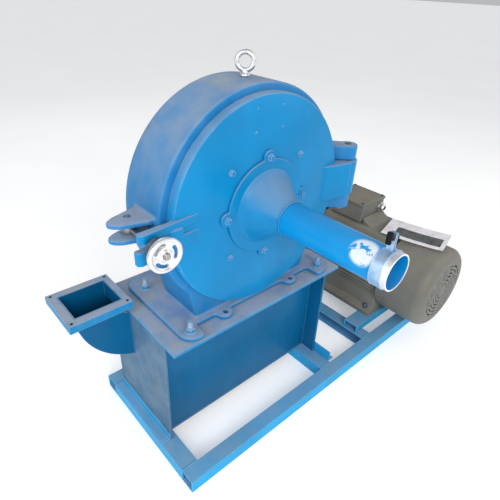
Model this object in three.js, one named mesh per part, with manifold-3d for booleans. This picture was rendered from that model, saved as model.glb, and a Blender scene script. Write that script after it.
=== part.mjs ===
// Hammer mill with a hinged round front door, an axial inlet tube and a belt-driven rotor.
// Units are millimetres. X runs to the right, Y to the back and Z up; the inlet tube points to the front.
// Working frame: x = 0 at the outside of the left end plate, z = 0 on top of the channel frame.
import * as THREE from 'three';
import { mergeVertices } from 'three/addons/utils/BufferGeometryUtils.js';
import Module from 'manifold-3d';

const wasm = await Module();
wasm.setup();

// Driving dimensions
const GAP = 0.35;                       // clearance between faces that touch
const AXIS_X = 335;                     // rotor axis
const AXIS_Z = 736;

const RAIL_H = 50;                      // frame channels
const RAIL_W = 50;
const RAIL_T = 5;
const FRAME_X0 = -32;
const FRAME_X1 = 1392;
const FRAME_Y0 = -160;
const FRAME_Y1 = 370;
const CROSS_W = 56;
const CROSS_X = [FRAME_X0, 605, 870, FRAME_X1 - CROSS_W];
const CROSS_OPEN = [1, 1, -1, -1];      // the side each cross member is open to

const MOTOR_RAIL_H = 34;                // slide rails under the motor feet
const MOTOR_RAIL_X0 = 876;
const MOTOR_RAIL_W = 66;
const MOTOR_RAIL_Y = [-74, 214];

const BOX_W = 658;                      // plate box under the casing
const BOX_H = 410;
const BOX_Y0 = 0;
const BOX_Y1 = 309;
const RIGHT_PLATE_Y0 = -28;
const PLATE_T = 8;
const PANEL_T = 6;
const PANEL_Y0 = 31;
const FOOT_ANGLE_LEG = 28;              // angles that hold the box to the frame
const FOOT_ANGLE_T = 4;
const RIGHT_ANGLE_H = 45;
const RIGHT_ANGLE_Y0 = -104;
const TOP_T = 10;
const TOP_X0 = -6;
const TOP_X1 = 676;
const TOP_Y0 = -62;
const TOP_Y1 = 322;
const THROAT_X = [150, 520];            // product opening from the casing into the box
const THROAT_Y = [48, 152];

const MOUTH_Z = 462;                    // outlet elbow
const MOUTH_X = [-158, -16];
const DUCT_Y = [183, 305];
const DUCT_R = 235;
const DUCT_T = 3;
const OUTLET_Z0 = 246;
const ANGLE_LEG = 25;

const FOOT_Z0 = BOX_H + TOP_T + GAP;    // casing foot, neck and drum
const FOOT_T = 15;
const FOOT_X = [40, 630];
const FOOT_Y = [-58, 292];
const FOOT_CORNER_R = 42;
const NECK_HALF_TOP = 250;
const NECK_HALF_FOOT = 212;
const NECK_TOP_Z = 590;
const DRUM_R = 316;
const DRUM_Y0 = 12;
const DRUM_Y1 = 192;
const DRUM_FILLET = 34;
const WALL = 14;
const BACK_WALL = 20;
const CHAMBER_R = DRUM_R - WALL;
const MOUTH_R = 286;                    // round opening behind the door, with a lip round it
const LIP_Y = 24;
const BOSS_X = [AXIS_X - 135, AXIS_X + 135];
const FOOT_LEDGE_Y = -8;
const EYE_Y = 84;
const EYE_TURN = -Math.PI / 4;
const LUG_T = 13;
const LATCH_X = -24;
const LATCH_Y = 76;
const LATCH_Z = 749;
const LUG_GAP_HALF = 14;                // half the space between the latch lugs
const HINGE_X = 694;
const HINGE_Y = -5;
const HINGE_LUG_Z = [[632, 678], [796, 840]];
const HINGE_R = 30;

const DOOR_R = 297;                     // front door
const DOOR_FACE_R = 285;
const DOOR_Y0 = -18;
const DOOR_Y1 = DRUM_Y0 - GAP;
const DOOR_BORE_R = 95;
const EAR_Z = [[704, 739.5], [758.5, 781]];
const EAR_END_X = [-64, -55];
const EAR_Y = [-38, 4];
const EAR_T = 22;
const EAR_NOSE = 10;                    // slope at an ear's end, so that the washer swings past it
const ARM_Z = [680, 794];
const PAD_R = 134;
const PAD_T = 8;
const PAD_LOBE_R = 20;
const PAD_BOLT_R = 138;
const CONE_BASE_R = 104;
const CONE_END_Y = -116;
const TUBE_R = 45;
const TUBE_WALL = 4;
const TUBE_END_Y = -430;
const CLAMP_Y = [-414, -388];
const CLAMP_T = 1.6;
const CLAMP_EAR_Y = [-409, -393];
const CLAMP_EAR_T = 3;
const CLAMP_EAR_Z = AXIS_Z + 88;
const CLAMP_SPLIT = 3;
const GRIP_R = 6.5;
const GRIP_H = 26;

const BOLT_R = 8;                       // swing bolt and hand wheel
const ROD_END_Y = -98;
const WHEEL_R = 43;
const WHEEL_SLOT_R = [20.5, 31.5];
const WHEEL_SLOT_TURN = 0.07;
const WHEEL_SLOT_HALF = 0.66;
const WHEEL_Y = [-92, -79];
const WASHER_Y = [-48, -42.5];
const WASHER_R = 24;
const PIN_R = 8;

const ROTOR_PLATE_R = 205;              // rotor
const ROTOR_PLATE_T = 9;
const ROTOR_PLATE_Y = [48, 134];
const SHAFT_R = 25;
const MAIN_SHAFT_Y = [30, 466];
const HUB_R = 48;
const PIN_CIRCLE_R = 168;
const HAMMER_PIN_R = 8;
const HAMMER_LEN = 84;
const HAMMER_W = 40;
const HAMMER_T = 8;
const HAMMER_Y = [72, 106];
const SCREEN_R = 268;
const SCREEN_T = 3;

const HOUSING_R = 72;                   // bearings behind the casing
const HOUSING_FLANGE_R = 118;
const HOUSING_Y1 = 376;
const BEARING_W = 27;
const BEARING_R = 55;
const PULLEY_Y = [392, 448];
const MILL_PULLEY_R = 80;
const MOTOR_PULLEY_R = 140;
const BELT_W = 15;
const BELT_T = 10;
const BELT_Y = [406, 434];
const GROOVE_DEPTH = 12;

const MOTOR_X = 1142;                   // motor
const MOTOR_Z = MOTOR_RAIL_H + 180;
const MOTOR_BODY_R = 150;
const FIN_H = 15;
const FIN_COUNT = 28;
const MOTOR_BODY_Y = [-66, 345];
const MOTOR_SHAFT_R = 24;
const MOTOR_SHAFT_Y = [-232, 478];
const COWL_R = 175;
const COWL_Y0 = -267;
const COWL_Y1 = -68;
const COWL_ROUND = 42;
const MOTOR_FOOT_Y = [-60, 279];
const FOOT_HALF = 176;
const PEDESTAL_Y = [-44, 300];          // flat top of the frame under the terminal box
const PEDESTAL_Z = MOTOR_Z + 167;
const TBOX_X = [1062, 1229];
const TBOX_Y = [120, 290];
const TBOX_Z0 = MOTOR_Z + 172 + GAP;
const TBOX_Z1 = 472;
const GLAND_X = 1196;
const GLAND_Z = 430;
const FAN_BLADES = 7;
const FAN_Y = [-180, -116];
const FAN_R = [40, 128];
const COWL_SLOT_R = [48, 120];
const CARD = [158, 250, 1.5];
const CARD_AT = [1160, -90];
const CARD_TURN = 0.25;

// Geometry helpers
function toSolid(geometry) {
  const bare = geometry.clone();
  bare.deleteAttribute('normal');
  bare.deleteAttribute('uv');
  const merged = mergeVertices(bare, 1e-4);
  const points = merged.attributes.position.array;
  const index = merged.index.array;
  const triangles = [];
  let volume = 0;
  const at = (i) => new THREE.Vector3(points[3 * i], points[3 * i + 1], points[3 * i + 2]);
  for (let i = 0; i < index.length; i += 3) {
    const [a, b, c] = [index[i], index[i + 1], index[i + 2]];
    if (a === b || b === c || c === a) continue;
    triangles.push(a, b, c);
    volume += at(a).dot(at(b).cross(at(c)));
  }
  if (volume < 0) {
    for (let i = 0; i < triangles.length; i += 3) {
      [triangles[i + 1], triangles[i + 2]] = [triangles[i + 2], triangles[i + 1]];
    }
  }
  const vertProperties = new Float32Array(points);
  const triVerts = new Uint32Array(triangles);
  return new wasm.Manifold(new wasm.Mesh({ numProp: 3, vertProperties, triVerts }));
}

function join(first, ...rest) {
  return rest.reduce((sum, solid) => sum.add(solid), first);
}

function cut(first, ...rest) {
  return rest.reduce((left, solid) => left.subtract(solid), first);
}

function toGeometry(solid) {
  const mesh = solid.getMesh();
  const geometry = new THREE.BufferGeometry();
  const points = new Float32Array(mesh.numVert * 3);
  for (let i = 0; i < mesh.numVert; i += 1) {
    for (let k = 0; k < 3; k += 1) points[3 * i + k] = mesh.vertProperties[mesh.numProp * i + k];
  }
  geometry.setAttribute('position', new THREE.BufferAttribute(points, 3));
  geometry.setIndex(Array.from(mesh.triVerts));
  geometry.computeVertexNormals();
  return geometry;
}

function block(x0, x1, y0, y1, z0, z1) {
  const geometry = new THREE.BoxGeometry(x1 - x0, y1 - y0, z1 - z0);
  geometry.translate((x0 + x1) / 2, (y0 + y1) / 2, (z0 + z1) / 2);
  return toSolid(geometry);
}

// An outline drawn in X and Z, drawn out along Y.
function alongY(shape, y0, y1, curveSegments = 12) {
  const geometry = new THREE.ExtrudeGeometry(shape, { depth: y1 - y0, bevelEnabled: false, curveSegments });
  geometry.rotateX(Math.PI / 2);
  geometry.translate(0, y1, 0);
  return toSolid(geometry);
}

// An outline drawn in X and Y, drawn out along Z.
function alongZ(shape, z0, z1, curveSegments = 12) {
  const geometry = new THREE.ExtrudeGeometry(shape, { depth: z1 - z0, bevelEnabled: false, curveSegments });
  geometry.translate(0, 0, z0);
  return toSolid(geometry);
}

// An outline drawn in Y and Z, drawn out along X.
function alongX(shape, x0, x1, curveSegments = 12) {
  const geometry = new THREE.ExtrudeGeometry(shape, { depth: x1 - x0, bevelEnabled: false, curveSegments });
  geometry.rotateZ(Math.PI / 2);
  geometry.rotateY(Math.PI / 2);
  geometry.translate(x0, 0, 0);
  return toSolid(geometry);
}

function polygon(points) {
  return new THREE.Shape(points.map(([a, b]) => new THREE.Vector2(a, b)));
}

// A solid of revolution about an axis along Y through (x, z); the profile lists [radius, y].
function turned(profile, x, z, segments) {
  const closed = [...profile, profile[0]];
  const geometry = new THREE.LatheGeometry(closed.map(([r, y]) => new THREE.Vector2(r, y)), segments);
  geometry.translate(x, 0, z);
  return toSolid(geometry);
}

function discY(r, y0, y1, x, z, segments = 32) {
  return turned([[0, y0], [r, y0], [r, y1], [0, y1]], x, z, segments);
}

function ringY(r0, r1, y0, y1, x, z, segments = 48) {
  return turned([[r0, y0], [r1, y0], [r1, y1], [r0, y1]], x, z, segments);
}

function discZ(r, z0, z1, x, y, segments = 24) {
  const geometry = new THREE.CylinderGeometry(r, r, z1 - z0, segments);
  geometry.rotateX(Math.PI / 2);
  geometry.translate(x, y, (z0 + z1) / 2);
  return toSolid(geometry);
}

function channelSection(width, height, wall) {
  return polygon([[0, 0], [width, 0], [width, wall], [wall, wall], [wall, height - wall],
    [width, height - wall], [width, height], [0, height]]);
}

function roundedRect(x0, x1, y0, y1, r) {
  const shape = new THREE.Shape();
  shape.moveTo(x0 + r, y0);
  shape.lineTo(x1 - r, y0);
  shape.absarc(x1 - r, y0 + r, r, -Math.PI / 2, 0);
  shape.lineTo(x1, y1 - r);
  shape.absarc(x1 - r, y1 - r, r, 0, Math.PI / 2);
  shape.lineTo(x0 + r, y1);
  shape.absarc(x0 + r, y1 - r, r, Math.PI / 2, Math.PI);
  shape.lineTo(x0, y0 + r);
  shape.absarc(x0 + r, y0 + r, r, Math.PI, 1.5 * Math.PI);
  return shape;
}

// Part of a ring in X and Z, centred on the angle mid.
function ringSlot(x, z, inner, outer, mid, half) {
  const shape = new THREE.Shape();
  shape.absarc(x, z, outer, mid - half, mid + half, false);
  shape.absarc(x, z, inner, mid + half, mid - half, true);
  return shape;
}

// Scene graph helpers
const root = new THREE.Group();
const paint = {
  blue: { color: 0x0a86c8, roughness: 0.5, metalness: 0.1 },
  railBlue: { color: 0x4fa3cf, roughness: 0.6, metalness: 0.1 },
  grey: { color: 0x7d7c74, roughness: 0.6, metalness: 0.2 },
  steel: { color: 0x9a9a98, roughness: 0.4, metalness: 0.9 },
  zinc: { color: 0xd0d2d4, roughness: 0.35, metalness: 0.9 },
  iron: { color: 0x5a5550, roughness: 0.7, metalness: 0.6 },
  rubber: { color: 0x1c1c1c, roughness: 0.8, metalness: 0.0 },
  card: { color: 0xe6e3e6, roughness: 0.6, metalness: 0.0 },
};

function addNode(name, solid, look) {
  const mesh = new THREE.Mesh(toGeometry(solid), new THREE.MeshStandardMaterial(paint[look]));
  mesh.name = name;
  root.add(mesh);
}

// Frame
function railAlongX(y0, openTo, x0, x1) {
  const section = channelSection(RAIL_W, RAIL_H, RAIL_T);
  const rail = alongX(section, x0, x1);
  return openTo > 0 ? rail.translate([0, y0, -RAIL_H]) : rail.mirror([0, 1, 0]).translate([0, y0, -RAIL_H]);
}

function crossMember(x0, openTo) {
  const section = channelSection(CROSS_W, RAIL_H, RAIL_T);
  const y0 = FRAME_Y0 + RAIL_W + GAP;
  const y1 = FRAME_Y1 - RAIL_W - GAP;
  const bar = alongY(section, y0, y1).translate([0, 0, -RAIL_H]);
  return openTo > 0 ? bar.translate([x0, 0, 0]) : bar.mirror([1, 0, 0]).translate([x0 + CROSS_W, 0, 0]);
}

function motorRail(y0) {
  const top = MOTOR_RAIL_H - GAP;
  const section = polygon([[0, 0], [RAIL_T, 0], [RAIL_T, top - RAIL_T], [MOTOR_RAIL_W - RAIL_T, top - RAIL_T],
    [MOTOR_RAIL_W - RAIL_T, 0], [MOTOR_RAIL_W, 0], [MOTOR_RAIL_W, top], [0, top]]);
  return alongX(section, MOTOR_RAIL_X0, FRAME_X1).translate([0, y0, GAP]);
}

function buildFrame() {
  addNode('front_rail', railAlongX(FRAME_Y0, 1, FRAME_X0, FRAME_X1), 'railBlue');
  addNode('rear_rail', railAlongX(FRAME_Y1, -1, FRAME_X0, FRAME_X1), 'railBlue');
  CROSS_X.forEach((x0, i) => {
    addNode(`cross_member_${i + 1}`, crossMember(x0, CROSS_OPEN[i]), 'railBlue');
  });
  addNode('motor_rail_front', motorRail(MOTOR_RAIL_Y[0]), 'railBlue');
  addNode('motor_rail_rear', motorRail(MOTOR_RAIL_Y[1]), 'railBlue');
}

// Plate box
function ductOutline(inset) {
  const centreX = MOUTH_X[0] + DUCT_R;
  const r = DUCT_R - inset;
  const right = -GAP + (inset > 0 ? 30 : 0);
  const start = Math.acos((right - centreX) / -r);
  const mouthTop = MOUTH_Z + (inset > 0 ? 10 : 0);
  const shape = new THREE.Shape();
  shape.moveTo(MOUTH_X[0] + inset, mouthTop);
  shape.lineTo(MOUTH_X[0] + inset, MOUTH_Z);
  shape.absarc(centreX, MOUTH_Z, r, Math.PI, Math.PI + start, false);
  shape.lineTo(right, BOX_H - GAP - inset);
  shape.lineTo(MOUTH_X[1] - inset, BOX_H - GAP - inset);
  shape.lineTo(MOUTH_X[1] - inset, mouthTop);
  return shape;
}

function buildBox() {
  const outletHole = block(-5, PLATE_T + 5, DUCT_Y[0] + DUCT_T, DUCT_Y[1] - DUCT_T, OUTLET_Z0, 400);
  const left = block(GAP, PLATE_T, BOX_Y0, BOX_Y1, GAP, BOX_H - GAP);
  addNode('box_left_plate', cut(left, outletHole), 'blue');
  addNode('box_right_plate', block(BOX_W - PLATE_T, BOX_W, RIGHT_PLATE_Y0, BOX_Y1, GAP, BOX_H - GAP), 'blue');
  const inX0 = PLATE_T + GAP;
  const inX1 = BOX_W - PLATE_T - GAP;
  const rearY = BOX_Y1 - PANEL_T - 1;
  addNode('box_front_panel', block(inX0, inX1, PANEL_Y0, PANEL_Y0 + PANEL_T, GAP, BOX_H - GAP), 'blue');
  addNode('box_rear_panel', block(inX0, inX1, rearY, rearY + PANEL_T, GAP, BOX_H - GAP), 'blue');
  const floor = polygon([[inX0, 232], [inX0, 240], [inX1, 330], [inX1, 322]]);
  addNode('box_floor', alongY(floor, PANEL_Y0 + PANEL_T + GAP, rearY - GAP), 'blue');
  const topHole = block(THROAT_X[0], THROAT_X[1], THROAT_Y[0], THROAT_Y[1], BOX_H - 5, BOX_H + TOP_T + 5);
  const top = block(TOP_X0, TOP_X1, TOP_Y0, TOP_Y1, BOX_H, BOX_H + TOP_T);
  addNode('box_top_flange', cut(top, topHole), 'blue');
  const leftAngle = footAngle(0, -1, FOOT_ANGLE_LEG);
  addNode('box_foot_angle_left', alongY(leftAngle, BOX_Y0, BOX_Y1), 'blue');
  const rightAngle = footAngle(BOX_W + GAP, 1, RIGHT_ANGLE_H);
  addNode('box_foot_angle_right', alongY(rightAngle, RIGHT_ANGLE_Y0, BOX_Y1), 'blue');
}

function footAngle(x0, side, height) {
  const leg = side * FOOT_ANGLE_LEG;
  const t = FOOT_ANGLE_T;
  return polygon([[x0, GAP], [x0 + leg, GAP], [x0 + leg, t], [x0 + side * t, t], [x0 + side * t, height],
    [x0, height]]);
}

function buildOutlet() {
  const outer = alongY(ductOutline(0), DUCT_Y[0], DUCT_Y[1], 16);
  const inner = alongY(ductOutline(DUCT_T), DUCT_Y[0] + DUCT_T, DUCT_Y[1] - DUCT_T, 16);
  addNode('outlet_elbow', cut(outer, inner), 'blue');
  const x0 = MOUTH_X[0] - ANGLE_LEG;
  const x1 = MOUTH_X[1] + ANGLE_LEG - 5;
  const y0 = DUCT_Y[0] - ANGLE_LEG;
  const y1 = DUCT_Y[1] + ANGLE_LEG;
  const ringOuter = block(x0, x1, y0, y1, MOUTH_Z - ANGLE_LEG, MOUTH_Z);
  const under = block(x0 + 4, x1 - 4, y0 + 4, y1 - 4, MOUTH_Z - ANGLE_LEG - 1, MOUTH_Z - 4);
  const hole = block(MOUTH_X[0] - GAP, MOUTH_X[1] + GAP, DUCT_Y[0] - GAP, DUCT_Y[1] + GAP,
    MOUTH_Z - 50, MOUTH_Z + 5);
  addNode('outlet_flange', cut(ringOuter, under, hole), 'blue');
}

// Casing
function footOutline() {
  const shape = new THREE.Shape();
  const [x0, x1] = FOOT_X;
  const [y0, y1] = FOOT_Y;
  const r = FOOT_CORNER_R;
  const ledge = FOOT_LEDGE_Y;
  const padX = [x0 + 62, x1 - 62];
  shape.moveTo(x0 + r, y0);
  shape.lineTo(padX[0], y0);
  shape.lineTo(padX[0] + 4, ledge);
  for (const bossX of BOSS_X) {
    shape.lineTo(bossX - 27, ledge);
    shape.absarc(bossX, ledge - 4, 27, Math.PI, 2 * Math.PI, false);
    shape.lineTo(bossX + 27, ledge);
  }
  shape.lineTo(padX[1] - 4, ledge);
  shape.lineTo(padX[1], y0);
  shape.lineTo(x1 - r, y0);
  shape.absarc(x1 - r, y0 + r, r, -Math.PI / 2, 0);
  shape.lineTo(x1, y1 - r);
  shape.absarc(x1 - r, y1 - r, r, 0, Math.PI / 2);
  shape.lineTo(x0 + r, y1);
  shape.absarc(x0 + r, y1 - r, r, Math.PI / 2, Math.PI);
  shape.lineTo(x0, y0 + r);
  shape.absarc(x0 + r, y0 + r, r, Math.PI, 1.5 * Math.PI);
  return shape;
}

function latchLug(z0, z1) {
  const shape = new THREE.Shape();
  shape.moveTo(48, 30);
  shape.lineTo(LATCH_X + 30, LATCH_Y - 52);
  shape.lineTo(LATCH_X - 32, LATCH_Y - 34);
  shape.quadraticCurveTo(LATCH_X - 80, LATCH_Y - 4, LATCH_X - 28, LATCH_Y + 18);
  shape.lineTo(LATCH_X + 28, LATCH_Y + 35);
  shape.lineTo(48, 150);
  return alongZ(shape, z0, z1, 10);
}

function hingeLug([z0, z1]) {
  const shape = new THREE.Shape();
  shape.moveTo(DRUM_R + AXIS_X - 34, 24);
  shape.lineTo(HINGE_X - 8, HINGE_Y - HINGE_R);
  shape.absarc(HINGE_X, HINGE_Y, HINGE_R, -0.58 * Math.PI, 0.45 * Math.PI, false);
  shape.lineTo(DRUM_R + AXIS_X - 10, 96);
  shape.lineTo(DRUM_R + AXIS_X - 34, 96);
  return alongZ(shape, z0, z1, 10);
}

function casingHollow() {
  const segments = 48;
  const chamber = discY(CHAMBER_R, LIP_Y, DRUM_Y1 - BACK_WALL, AXIS_X, AXIS_Z, segments);
  const mouth = discY(MOUTH_R, DRUM_Y0 - 5, LIP_Y + 1, AXIS_X, AXIS_Z, segments);
  const throat = block(THROAT_X[0], THROAT_X[1], THROAT_Y[0], THROAT_Y[1], FOOT_Z0 - 5, 560);
  return [chamber, mouth, throat];
}

function buildCasing() {
  const f = DRUM_FILLET;
  const drumProfile = [[0, DRUM_Y0], [DRUM_R, DRUM_Y0], [DRUM_R, DRUM_Y1 - f]];
  for (let i = 1; i <= 3; i += 1) {
    const a = (i / 3) * (Math.PI / 2);
    drumProfile.push([DRUM_R - f + f * Math.cos(a), DRUM_Y1 - f + f * Math.sin(a)]);
  }
  drumProfile.push([0, DRUM_Y1]);
  const drum = turned(drumProfile, AXIS_X, AXIS_Z, 48);
  const neck = polygon([[AXIS_X - NECK_HALF_FOOT, FOOT_Z0], [AXIS_X - NECK_HALF_TOP, NECK_TOP_Z],
    [AXIS_X + NECK_HALF_TOP, NECK_TOP_Z], [AXIS_X + NECK_HALF_FOOT, FOOT_Z0]]);
  const neckSolid = alongY(neck, DRUM_Y0, DRUM_Y1 - 18);
  const foot = alongZ(footOutline(), FOOT_Z0, FOOT_Z0 + FOOT_T, 8);
  const lugs = [latchLug(LATCH_Z + LUG_GAP_HALF, LATCH_Z + LUG_GAP_HALF + LUG_T),
    latchLug(LATCH_Z - LUG_GAP_HALF - LUG_T, LATCH_Z - LUG_GAP_HALF)];
  const hinges = HINGE_LUG_Z.map(hingeLug);
  const belowFoot = block(FOOT_X[0], FOOT_X[1], FOOT_Y[0], FOOT_Y[1], FOOT_Z0 - 20, FOOT_Z0);
  let casing = cut(join(drum, neckSolid, foot, ...lugs, ...hinges), belowFoot);
  const shaftHole = discY(SHAFT_R + 4, DRUM_Y1 - 92, DRUM_Y1 + 5, AXIS_X, AXIS_Z, 24);
  const latchHole = discZ(PIN_R + 0.7, 600, 900, LATCH_X, LATCH_Y, 20);
  const hingeHole = discZ(PIN_R + 2.7, 600, 900, HINGE_X, HINGE_Y, 20);
  const eyeHole = discZ(6.8, AXIS_Z + CHAMBER_R - 5, AXIS_Z + DRUM_R + 5, AXIS_X, EYE_Y, 10);
  casing = cut(casing, ...casingHollow(), shaftHole, latchHole, hingeHole, eyeHole);
  for (const bossX of BOSS_X) {
    casing = cut(casing, discZ(8, FOOT_Z0 - 5, FOOT_Z0 + FOOT_T + 5, bossX, -20, 12));
  }
  addNode('mill_casing', casing, 'blue');
  buildEyeBolt();
  const screenBack = DRUM_Y1 - BACK_WALL - GAP;
  const screen = ringY(SCREEN_R, SCREEN_R + SCREEN_T, DRUM_Y0 + 7, screenBack, AXIS_X, AXIS_Z, 36);
  addNode('screen_ring', screen, 'steel');
}

function buildEyeBolt() {
  const crownZ = AXIS_Z + DRUM_R;
  const ring = new THREE.TorusGeometry(21, 6.5, 8, 18);
  ring.rotateX(Math.PI / 2);
  ring.rotateZ(EYE_TURN);
  ring.translate(AXIS_X, EYE_Y, crownZ + 36);
  const collar = discZ(13, crownZ + GAP, crownZ + 9, AXIS_X, EYE_Y, 14);
  const neck = discZ(10, crownZ + 8, crownZ + 17, AXIS_X, EYE_Y, 12);
  const shank = discZ(6, crownZ - 10, crownZ + 12, AXIS_X, EYE_Y, 10);
  addNode('eye_bolt', join(toSolid(ring), collar, neck, shank), 'zinc');
}

// Door
function buildDoor() {
  const disc = turned([[DOOR_BORE_R, DOOR_Y0], [DOOR_FACE_R, DOOR_Y0], [DOOR_R - 4, DOOR_Y0 + 5],
    [DOOR_R, DOOR_Y0 + 12], [DOOR_R, DOOR_Y1], [DOOR_BORE_R, DOOR_Y1]], AXIS_X, AXIS_Z, 48);
  const ears = EAR_Z.map(([z0, z1], i) => doorEar(EAR_END_X[i], z0, z1));
  const earWeb = block(26, 62, EAR_Y[0] + 6, -4, EAR_Z[0][1] - 4, EAR_Z[1][0] + 4);
  const arm = new THREE.Shape();
  arm.moveTo(560, DOOR_Y0 + 6);
  arm.lineTo(582, DOOR_Y0 - 6);
  arm.lineTo(HINGE_X - 20, HINGE_Y - 40);
  arm.absarc(HINGE_X, HINGE_Y, 36, -0.62 * Math.PI, 0.62 * Math.PI, false);
  arm.lineTo(640, 4);
  arm.lineTo(560, 4);
  let door = join(disc, ...ears, earWeb, alongZ(arm, ARM_Z[0], ARM_Z[1], 10));
  door = cut(door, discZ(PIN_R + 2.7, 600, 900, HINGE_X, HINGE_Y, 20));
  addNode('front_door', door, 'blue');
  const liner = ringY(DOOR_BORE_R, SCREEN_R - 6, DOOR_Y1 + GAP, DOOR_Y1 + 6.5, AXIS_X, AXIS_Z, 32);
  addNode('door_liner', liner, 'steel');
  const lugBottom = HINGE_LUG_Z[0][0];
  const lugTop = HINGE_LUG_Z[1][1];
  const pin = discZ(PIN_R + 2, lugBottom - 9, lugTop + 2, HINGE_X, HINGE_Y, 20);
  const pinHead = discZ(16, lugBottom - 9, lugBottom - GAP, HINGE_X, HINGE_Y, 20);
  addNode('hinge_pin', join(pin, pinHead), 'steel');
}

// A bar that runs out from the door to the swing bolt, thinning onto the door's face.
function doorEar(endX, z0, z1) {
  const [front, rear] = EAR_Y;
  const back = front + EAR_T;
  const outline = polygon([[120, DOOR_Y0 + 6], [112, DOOR_Y0 - 1], [endX + EAR_NOSE, front],
    [endX, front + 6], [endX, back - 4], [endX + 4, back], [30, back + 4], [60, rear], [120, rear]]);
  return alongZ(outline, z0, z1);
}

function buildInlet() {
  const padFront = DOOR_Y0 - PAD_T;
  const padBack = DOOR_Y0 - GAP;
  const tubeBore = TUBE_R - TUBE_WALL;
  const profile = [[CONE_BASE_R - 16, padBack], [PAD_R, padBack], [PAD_R, padFront], [CONE_BASE_R, padFront],
    [CONE_BASE_R - 8, padFront - 7], [TUBE_R + 9, CONE_END_Y + 26], [TUBE_R + 3, CONE_END_Y],
    [tubeBore, CONE_END_Y], [tubeBore + 3, CONE_END_Y + 30]];
  let cone = turned(profile, AXIS_X, AXIS_Z, 32);
  for (let i = 0; i < 4; i += 1) {
    const a = (i * Math.PI) / 2;
    const x = AXIS_X + PAD_BOLT_R * Math.cos(a);
    const z = AXIS_Z + PAD_BOLT_R * Math.sin(a);
    cone = join(cone, discY(PAD_LOBE_R, padFront, padBack, x, z, 12));
  }
  addNode('inlet_cone', cone, 'blue');
  const tube = ringY(tubeBore, TUBE_R, TUBE_END_Y, CONE_END_Y - GAP, AXIS_X, AXIS_Z, 28);
  addNode('inlet_tube', tube, 'blue');
  buildClamp();
}

function buildClamp() {
  const [y0, y1] = CLAMP_Y;
  const boltY = (y0 + y1) / 2;
  const boltZ = CLAMP_EAR_Z - 14;
  const earRight = AXIS_X + CLAMP_SPLIT / 2;
  const earLeft = AXIS_X - CLAMP_SPLIT / 2 - CLAMP_EAR_T;
  const inner = TUBE_R + 0.5;
  const band = ringY(inner, inner + CLAMP_T, y0, y1, AXIS_X, AXIS_Z, 28);
  const split = block(earLeft + CLAMP_EAR_T, earRight, y0 - 5, y1 + 5, AXIS_Z + 30, AXIS_Z + 60);
  const earAt = (x) => block(x, x + CLAMP_EAR_T, ...CLAMP_EAR_Y, AXIS_Z + TUBE_R - 0.2, CLAMP_EAR_Z);
  const clamp = join(cut(band, split), earAt(earLeft), earAt(earRight));
  const insideTube = discY(TUBE_R + 0.4, y0 - 5, y1 + 5, AXIS_X, AXIS_Z, 28);
  const bore = boltAlongX(4.6, AXIS_X - 30, AXIS_X + 30, boltY, boltZ);
  addNode('hose_clamp', cut(clamp, insideTube, bore), 'zinc');
  const gripX = earLeft - GRIP_R - 5;
  const shank = boltAlongX(4, gripX, AXIS_X + 15, boltY, boltZ);
  const nut = boltAlongX(8, earRight + CLAMP_EAR_T + GAP, AXIS_X + 12, boltY, boltZ);
  const grip = discZ(GRIP_R, boltZ - 8, boltZ - 8 + GRIP_H, gripX, boltY, 16);
  addNode('clamp_bolt', join(shank, nut, grip), 'rubber');
}

function boltAlongX(r, x0, x1, y, z) {
  const geometry = new THREE.CylinderGeometry(r, r, x1 - x0, 10);
  geometry.rotateZ(Math.PI / 2);
  geometry.translate((x0 + x1) / 2, y, z);
  return toSolid(geometry);
}

// Latch
function buildLatch() {
  const z0 = LATCH_Z - LUG_GAP_HALF - LUG_T;
  const z1 = LATCH_Z + LUG_GAP_HALF + LUG_T;
  const eyeHalf = LUG_GAP_HALF - 0.6;
  const head = discZ(14, z0 - 9, z0 - GAP, LATCH_X, LATCH_Y, 20);
  addNode('latch_pin', join(discZ(PIN_R, z0 - 9, z1 + 1.5, LATCH_X, LATCH_Y, 20), head), 'steel');
  const eye = discZ(21, LATCH_Z - eyeHalf, LATCH_Z + eyeHalf, LATCH_X, LATCH_Y, 24);
  const rod = discY(BOLT_R, ROD_END_Y, LATCH_Y - 12, LATCH_X, LATCH_Z, 16);
  const eyeHole = discZ(PIN_R + 0.7, 600, 900, LATCH_X, LATCH_Y, 20);
  addNode('swing_bolt', cut(join(eye, rod), eyeHole), 'steel');
  const washer = ringY(BOLT_R + 1, WASHER_R, WASHER_Y[0], WASHER_Y[1], LATCH_X, LATCH_Z, 20);
  addNode('latch_washer', washer, 'steel');
  buildHandwheel();
}

function buildHandwheel() {
  const [front, back] = WHEEL_Y;
  const bore = BOLT_R + 1;
  const hubBack = WASHER_Y[0] - GAP;
  const profile = [[bore, front + 2], [13, front + 2], [15, front + 4], [32, front + 4], [34, front],
    [WHEEL_R - 3, front], [WHEEL_R, front + 3], [WHEEL_R, back - 3], [WHEEL_R - 3, back], [16, back],
    [14, hubBack], [bore, hubBack]];
  let wheel = turned(profile, LATCH_X, LATCH_Z, 24);
  const [inner, outer] = WHEEL_SLOT_R;
  for (let i = 0; i < 3; i += 1) {
    const mid = WHEEL_SLOT_TURN + (i * 2 * Math.PI) / 3;
    const slot = ringSlot(LATCH_X, LATCH_Z, inner, outer, mid, WHEEL_SLOT_HALF);
    wheel = cut(wheel, alongY(slot, front - 5, back + 5, 4));
  }
  addNode('handwheel', wheel, 'zinc');
}

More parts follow.
